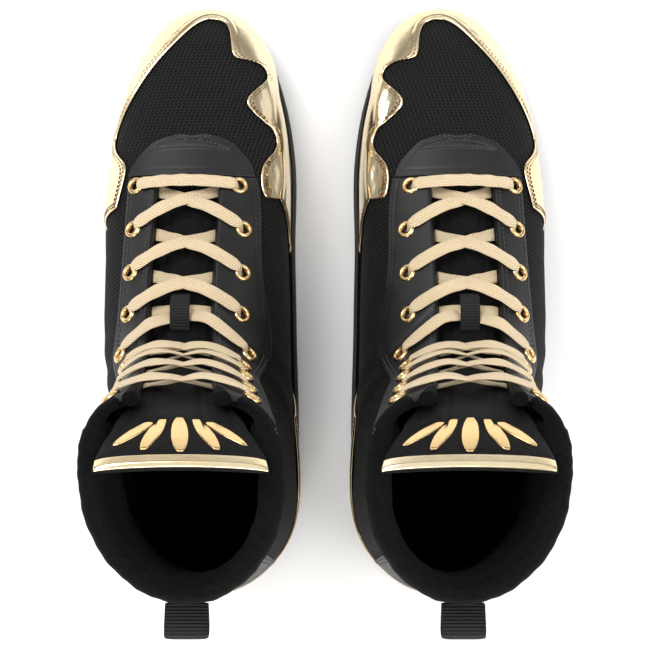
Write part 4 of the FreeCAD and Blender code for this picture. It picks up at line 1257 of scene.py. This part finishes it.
def outsole(looks):
    cup = grown(sole_ring(), lambda p, n: np.full(len(p), 0.35))

    def margin(p, n):
        """Width of the edge: narrow round the toe and flared at the outer ball."""
        lateral = n[:, 0] > 0
        toe = step((np.where(lateral, -95.0, -125.0) - p[:, 1]) / 35.0 + 1.0)
        flare = np.where(n[:, 0] > 0.5, 2.4 * np.exp(-((p[:, 1] + 25.0) / 50.0) ** 2), 0.0)
        return mix(2.0 + flare, 1.0, toe)

    outside = grown(cup, margin)
    low, high = sole_spring(outside[:, 1]), rim_height(outside[:, 1])

    def ring(share, z):
        """Ring between the cup (0) and the outside (1) at a height."""
        return np.column_stack([mix(cup, outside, share)[:, :2], z])

    rows = [ring(-0.1, np.full(len(cup), 6.6)), ring(0.0, np.full(len(cup), 6.6))]
    rows += [ring(share, high - drop)
             for share, drop in ((0.0, 1.2), (0.12, 0.35), (0.4, 0.0), (0.72, 0.15), (0.93, 0.8))]
    rows += [ring(share, mix(low, high - 1.4, part))
             for part, share in ((0.97, 1.0), (0.90, 1.0), (0.875, 0.8), (0.85, 0.8), (0.825, 1.0), (0.7, 0.96),
                                 (0.55, 0.9), (0.42, 0.86), (0.3, 0.9), (0.27, 1.02), (0.22, 1.06),
                                 (0.12, 1.04), (0.04, 0.9))]
    wall = np.array(rows)
    texture = 0.18 * np.sin(np.arange(wall.shape[1]) * 1.9)
    push = outside[:, :2] - cup[:, :2]
    push = push / np.linalg.norm(push, axis=1, keepdims=True)
    wall[11:15, :, :2] += (push * texture[:, None])[None]
    last_row = (len(wall) - 1) * len(cup)
    closing = grid_faces(2, len(cup), True)
    closing = np.where(closing < len(cup), closing + last_row, closing - len(cup))
    wall_faces = np.concatenate([grid_faces(len(wall), len(cup), True), closing])

    flat, inner = across_ring(mix(cup, outside, 0.93), 90)
    x, y = flat[..., 0], flat[..., 1]
    tread = sole_spring(y) + 0.1 + tread_relief(x, y) * step(inner * 6.0)
    bottom = np.concatenate([flat, tread[..., None]], -1)
    ceiling = np.concatenate([flat, (sole_spring(y) + 3.0)[..., None]], -1)
    base = lid(ceiling, bottom, flat)
    wall_verts = wall.reshape(-1, 3)
    add("outsole", merge([(wall_verts, wall_faces, wall_verts[:, :2]), base]), looks["rubber"],
        nodes=("outsole",))


def tread_relief(x, y):
    """Depth of the grooves across the ball and the heel, with turning rings under the ball."""
    forward = y < 20.0
    pitch = np.where(forward, 14.0, 12.0)
    bow = 0.006 * (x - 64.0) ** 2
    phase = np.abs((np.where(forward, y + 112.0 - bow, y - 78.0 + bow) / pitch + 0.5) % 1.0 - 0.5) * pitch
    zone = step((y + 128.0) / 5.0) * step((12.0 - y) / 6.0) + step((y - 66.0) / 5.0) * step((136.0 - y) / 5.0)
    radius = np.hypot(x - 66.0, y + 55.0)
    circles = hump(radius, 20.0, 0.9) + hump(radius, 14.0, 0.9) + hump(radius, 8.0, 0.9)
    line = np.where(radius < 23.0, circles, 0.75 * step((1.9 - phase) / 0.9))
    return 1.2 * np.minimum(line, 1.0) * zone + 1.2 * hump(y, 42.0, 18.0)


# ---------------------------------------------------------------- assembly, light and camera
def dress_hidden(looks):
    """Procedural materials for the CAD pieces inside the boot."""
    for side, _ in SIDES:
        for node, look in (("midsole", "foam"), ("lasting_board", "board"), ("toe_puff", "stiffener"),
                           ("heel_counter", "stiffener")):
            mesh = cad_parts[side + "_" + node].data
            mesh.materials.clear()
            mesh.materials.append(looks[look])


def studio():
    """Pale floor, soft overhead light that darkens towards the horizon, and the camera above the boots."""
    bpy.ops.mesh.primitive_plane_add(size=12.0, location=(0.0, 0.0, -0.0004))
    floor = bpy.context.object
    floor.name = "floor"
    floor.data.materials.append(shader("floor_paper", grey(0.9), 0.9, Specular_IOR_Level=0.1)[0])
    world = bpy.data.worlds.new("studio")
    world.use_nodes = True
    tree = world.node_tree
    coords = tree.nodes.new("ShaderNodeTexCoord")
    parts = tree.nodes.new("ShaderNodeSeparateXYZ")
    tree.links.new(coords.outputs["Generated"], parts.inputs[0])
    tones = ramp(tree, parts.outputs[2], ((0.0, grey(0.75)), (0.10, grey(0.35)), (0.34, grey(0.40)),
                                          (0.55, grey(0.95)), (1.0, grey(1.0))))
    tree.links.new(tones, tree.nodes["Background"].inputs["Color"])
    tree.nodes["Background"].inputs["Strength"].default_value = 1.0
    bpy.context.scene.world = world
    for name, place, aim, size, power in (("key", (0.9, -0.9, 1.6), (0, 0, 0), 1.0, 22.0),
                                          ("fill", (-1.2, 0.3, 1.3), (0, 0, 0), 1.2, 14.0),
                                          ("back", (0.2, 1.3, 1.1), (0, 0, 0.1), 0.8, 10.0)):
        light = bpy.data.lights.new(name, "AREA")
        light.size = size
        light.energy = power
        lamp = bpy.data.objects.new(name, light)
        lamp.location = place
        direction = np.array(aim) - np.array(place)
        lamp.rotation_euler = look_at(direction)
        bpy.context.scene.collection.objects.link(lamp)
    camera = bpy.data.cameras.new("camera")
    camera.sensor_width = 36.0
    camera.lens = 76.6
    camera.shift_x = 0.0015
    camera.shift_y = 0.0215
    holder = bpy.data.objects.new("camera", camera)
    holder.location = (0.0, 0.0235, 0.750)
    holder.rotation_euler = (0.0, 0.0, math.pi)
    bpy.context.scene.collection.objects.link(holder)
    bpy.context.scene.camera = holder
    bpy.context.scene.view_settings.view_transform = "Standard"


def look_at(direction):
    """Rotation that points a lamp's -Z along the direction."""
    x, y, z = direction
    return (math.atan2(math.hypot(x, y), -z), 0.0, math.atan2(y, x) - math.pi / 2.0)


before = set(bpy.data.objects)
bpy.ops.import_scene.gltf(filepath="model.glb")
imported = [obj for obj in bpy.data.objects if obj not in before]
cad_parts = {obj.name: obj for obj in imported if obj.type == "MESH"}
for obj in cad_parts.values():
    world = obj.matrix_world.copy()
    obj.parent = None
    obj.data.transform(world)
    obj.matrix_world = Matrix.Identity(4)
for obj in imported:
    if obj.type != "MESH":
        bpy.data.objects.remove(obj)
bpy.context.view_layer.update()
looks = {
    "gold": gold_foil(),
    "gold_deep": gold_metal(),
    "metal": gold_metal(),
    "leather": black_leather(),
    "leather_soft": black_leather("rear_leather", 0.006, 0.45, 0.6),
    "mesh": air_mesh(),
    "lining": knit("lining_cloth", 0.005, 14.0),
    "footbed": knit("footbed_cloth", 0.006, 10.0),
    "collar": knit("collar_cloth", 0.004, 12.0, 0.015),
    "tongue": knit("tongue_cloth", 0.006, 18.0, 0.01, 0.5, 0.00012),
    "webbing": webbing(),
    "lace": lace_cloth(),
    "gold_thread": thread("gold_thread", (0.16, 0.08, 0.03)),
    "dark_thread": thread("dark_thread", grey(0.045)),
    "rubber": speckled("sole_rubber", (0.012, 0.010, 0.009), 0.6, 700.0, 0.0002),
    "foam": speckled("midsole_foam", grey(0.03), 0.8, 1200.0, 0.0002),
    "board": speckled("lasting_board", (0.5, 0.44, 0.33), 0.9, 900.0, 0.0002),
    "stiffener": speckled("stiffener", grey(0.3), 0.5, 600.0, 0.0001),
}
bib_place, rear_place = outer_panels(looks)
seams(looks, bib_place, rear_place)
linings(looks)
footbed(looks)
shaft_tabs(looks)
collar(looks)
tongue(looks)
tongue_trim(looks)
tongue_emblem(looks)
lace_keeper(looks)
eyelets(looks)
laces(looks)
pull_loop(looks)
outsole(looks)
dress_hidden(looks)
studio()
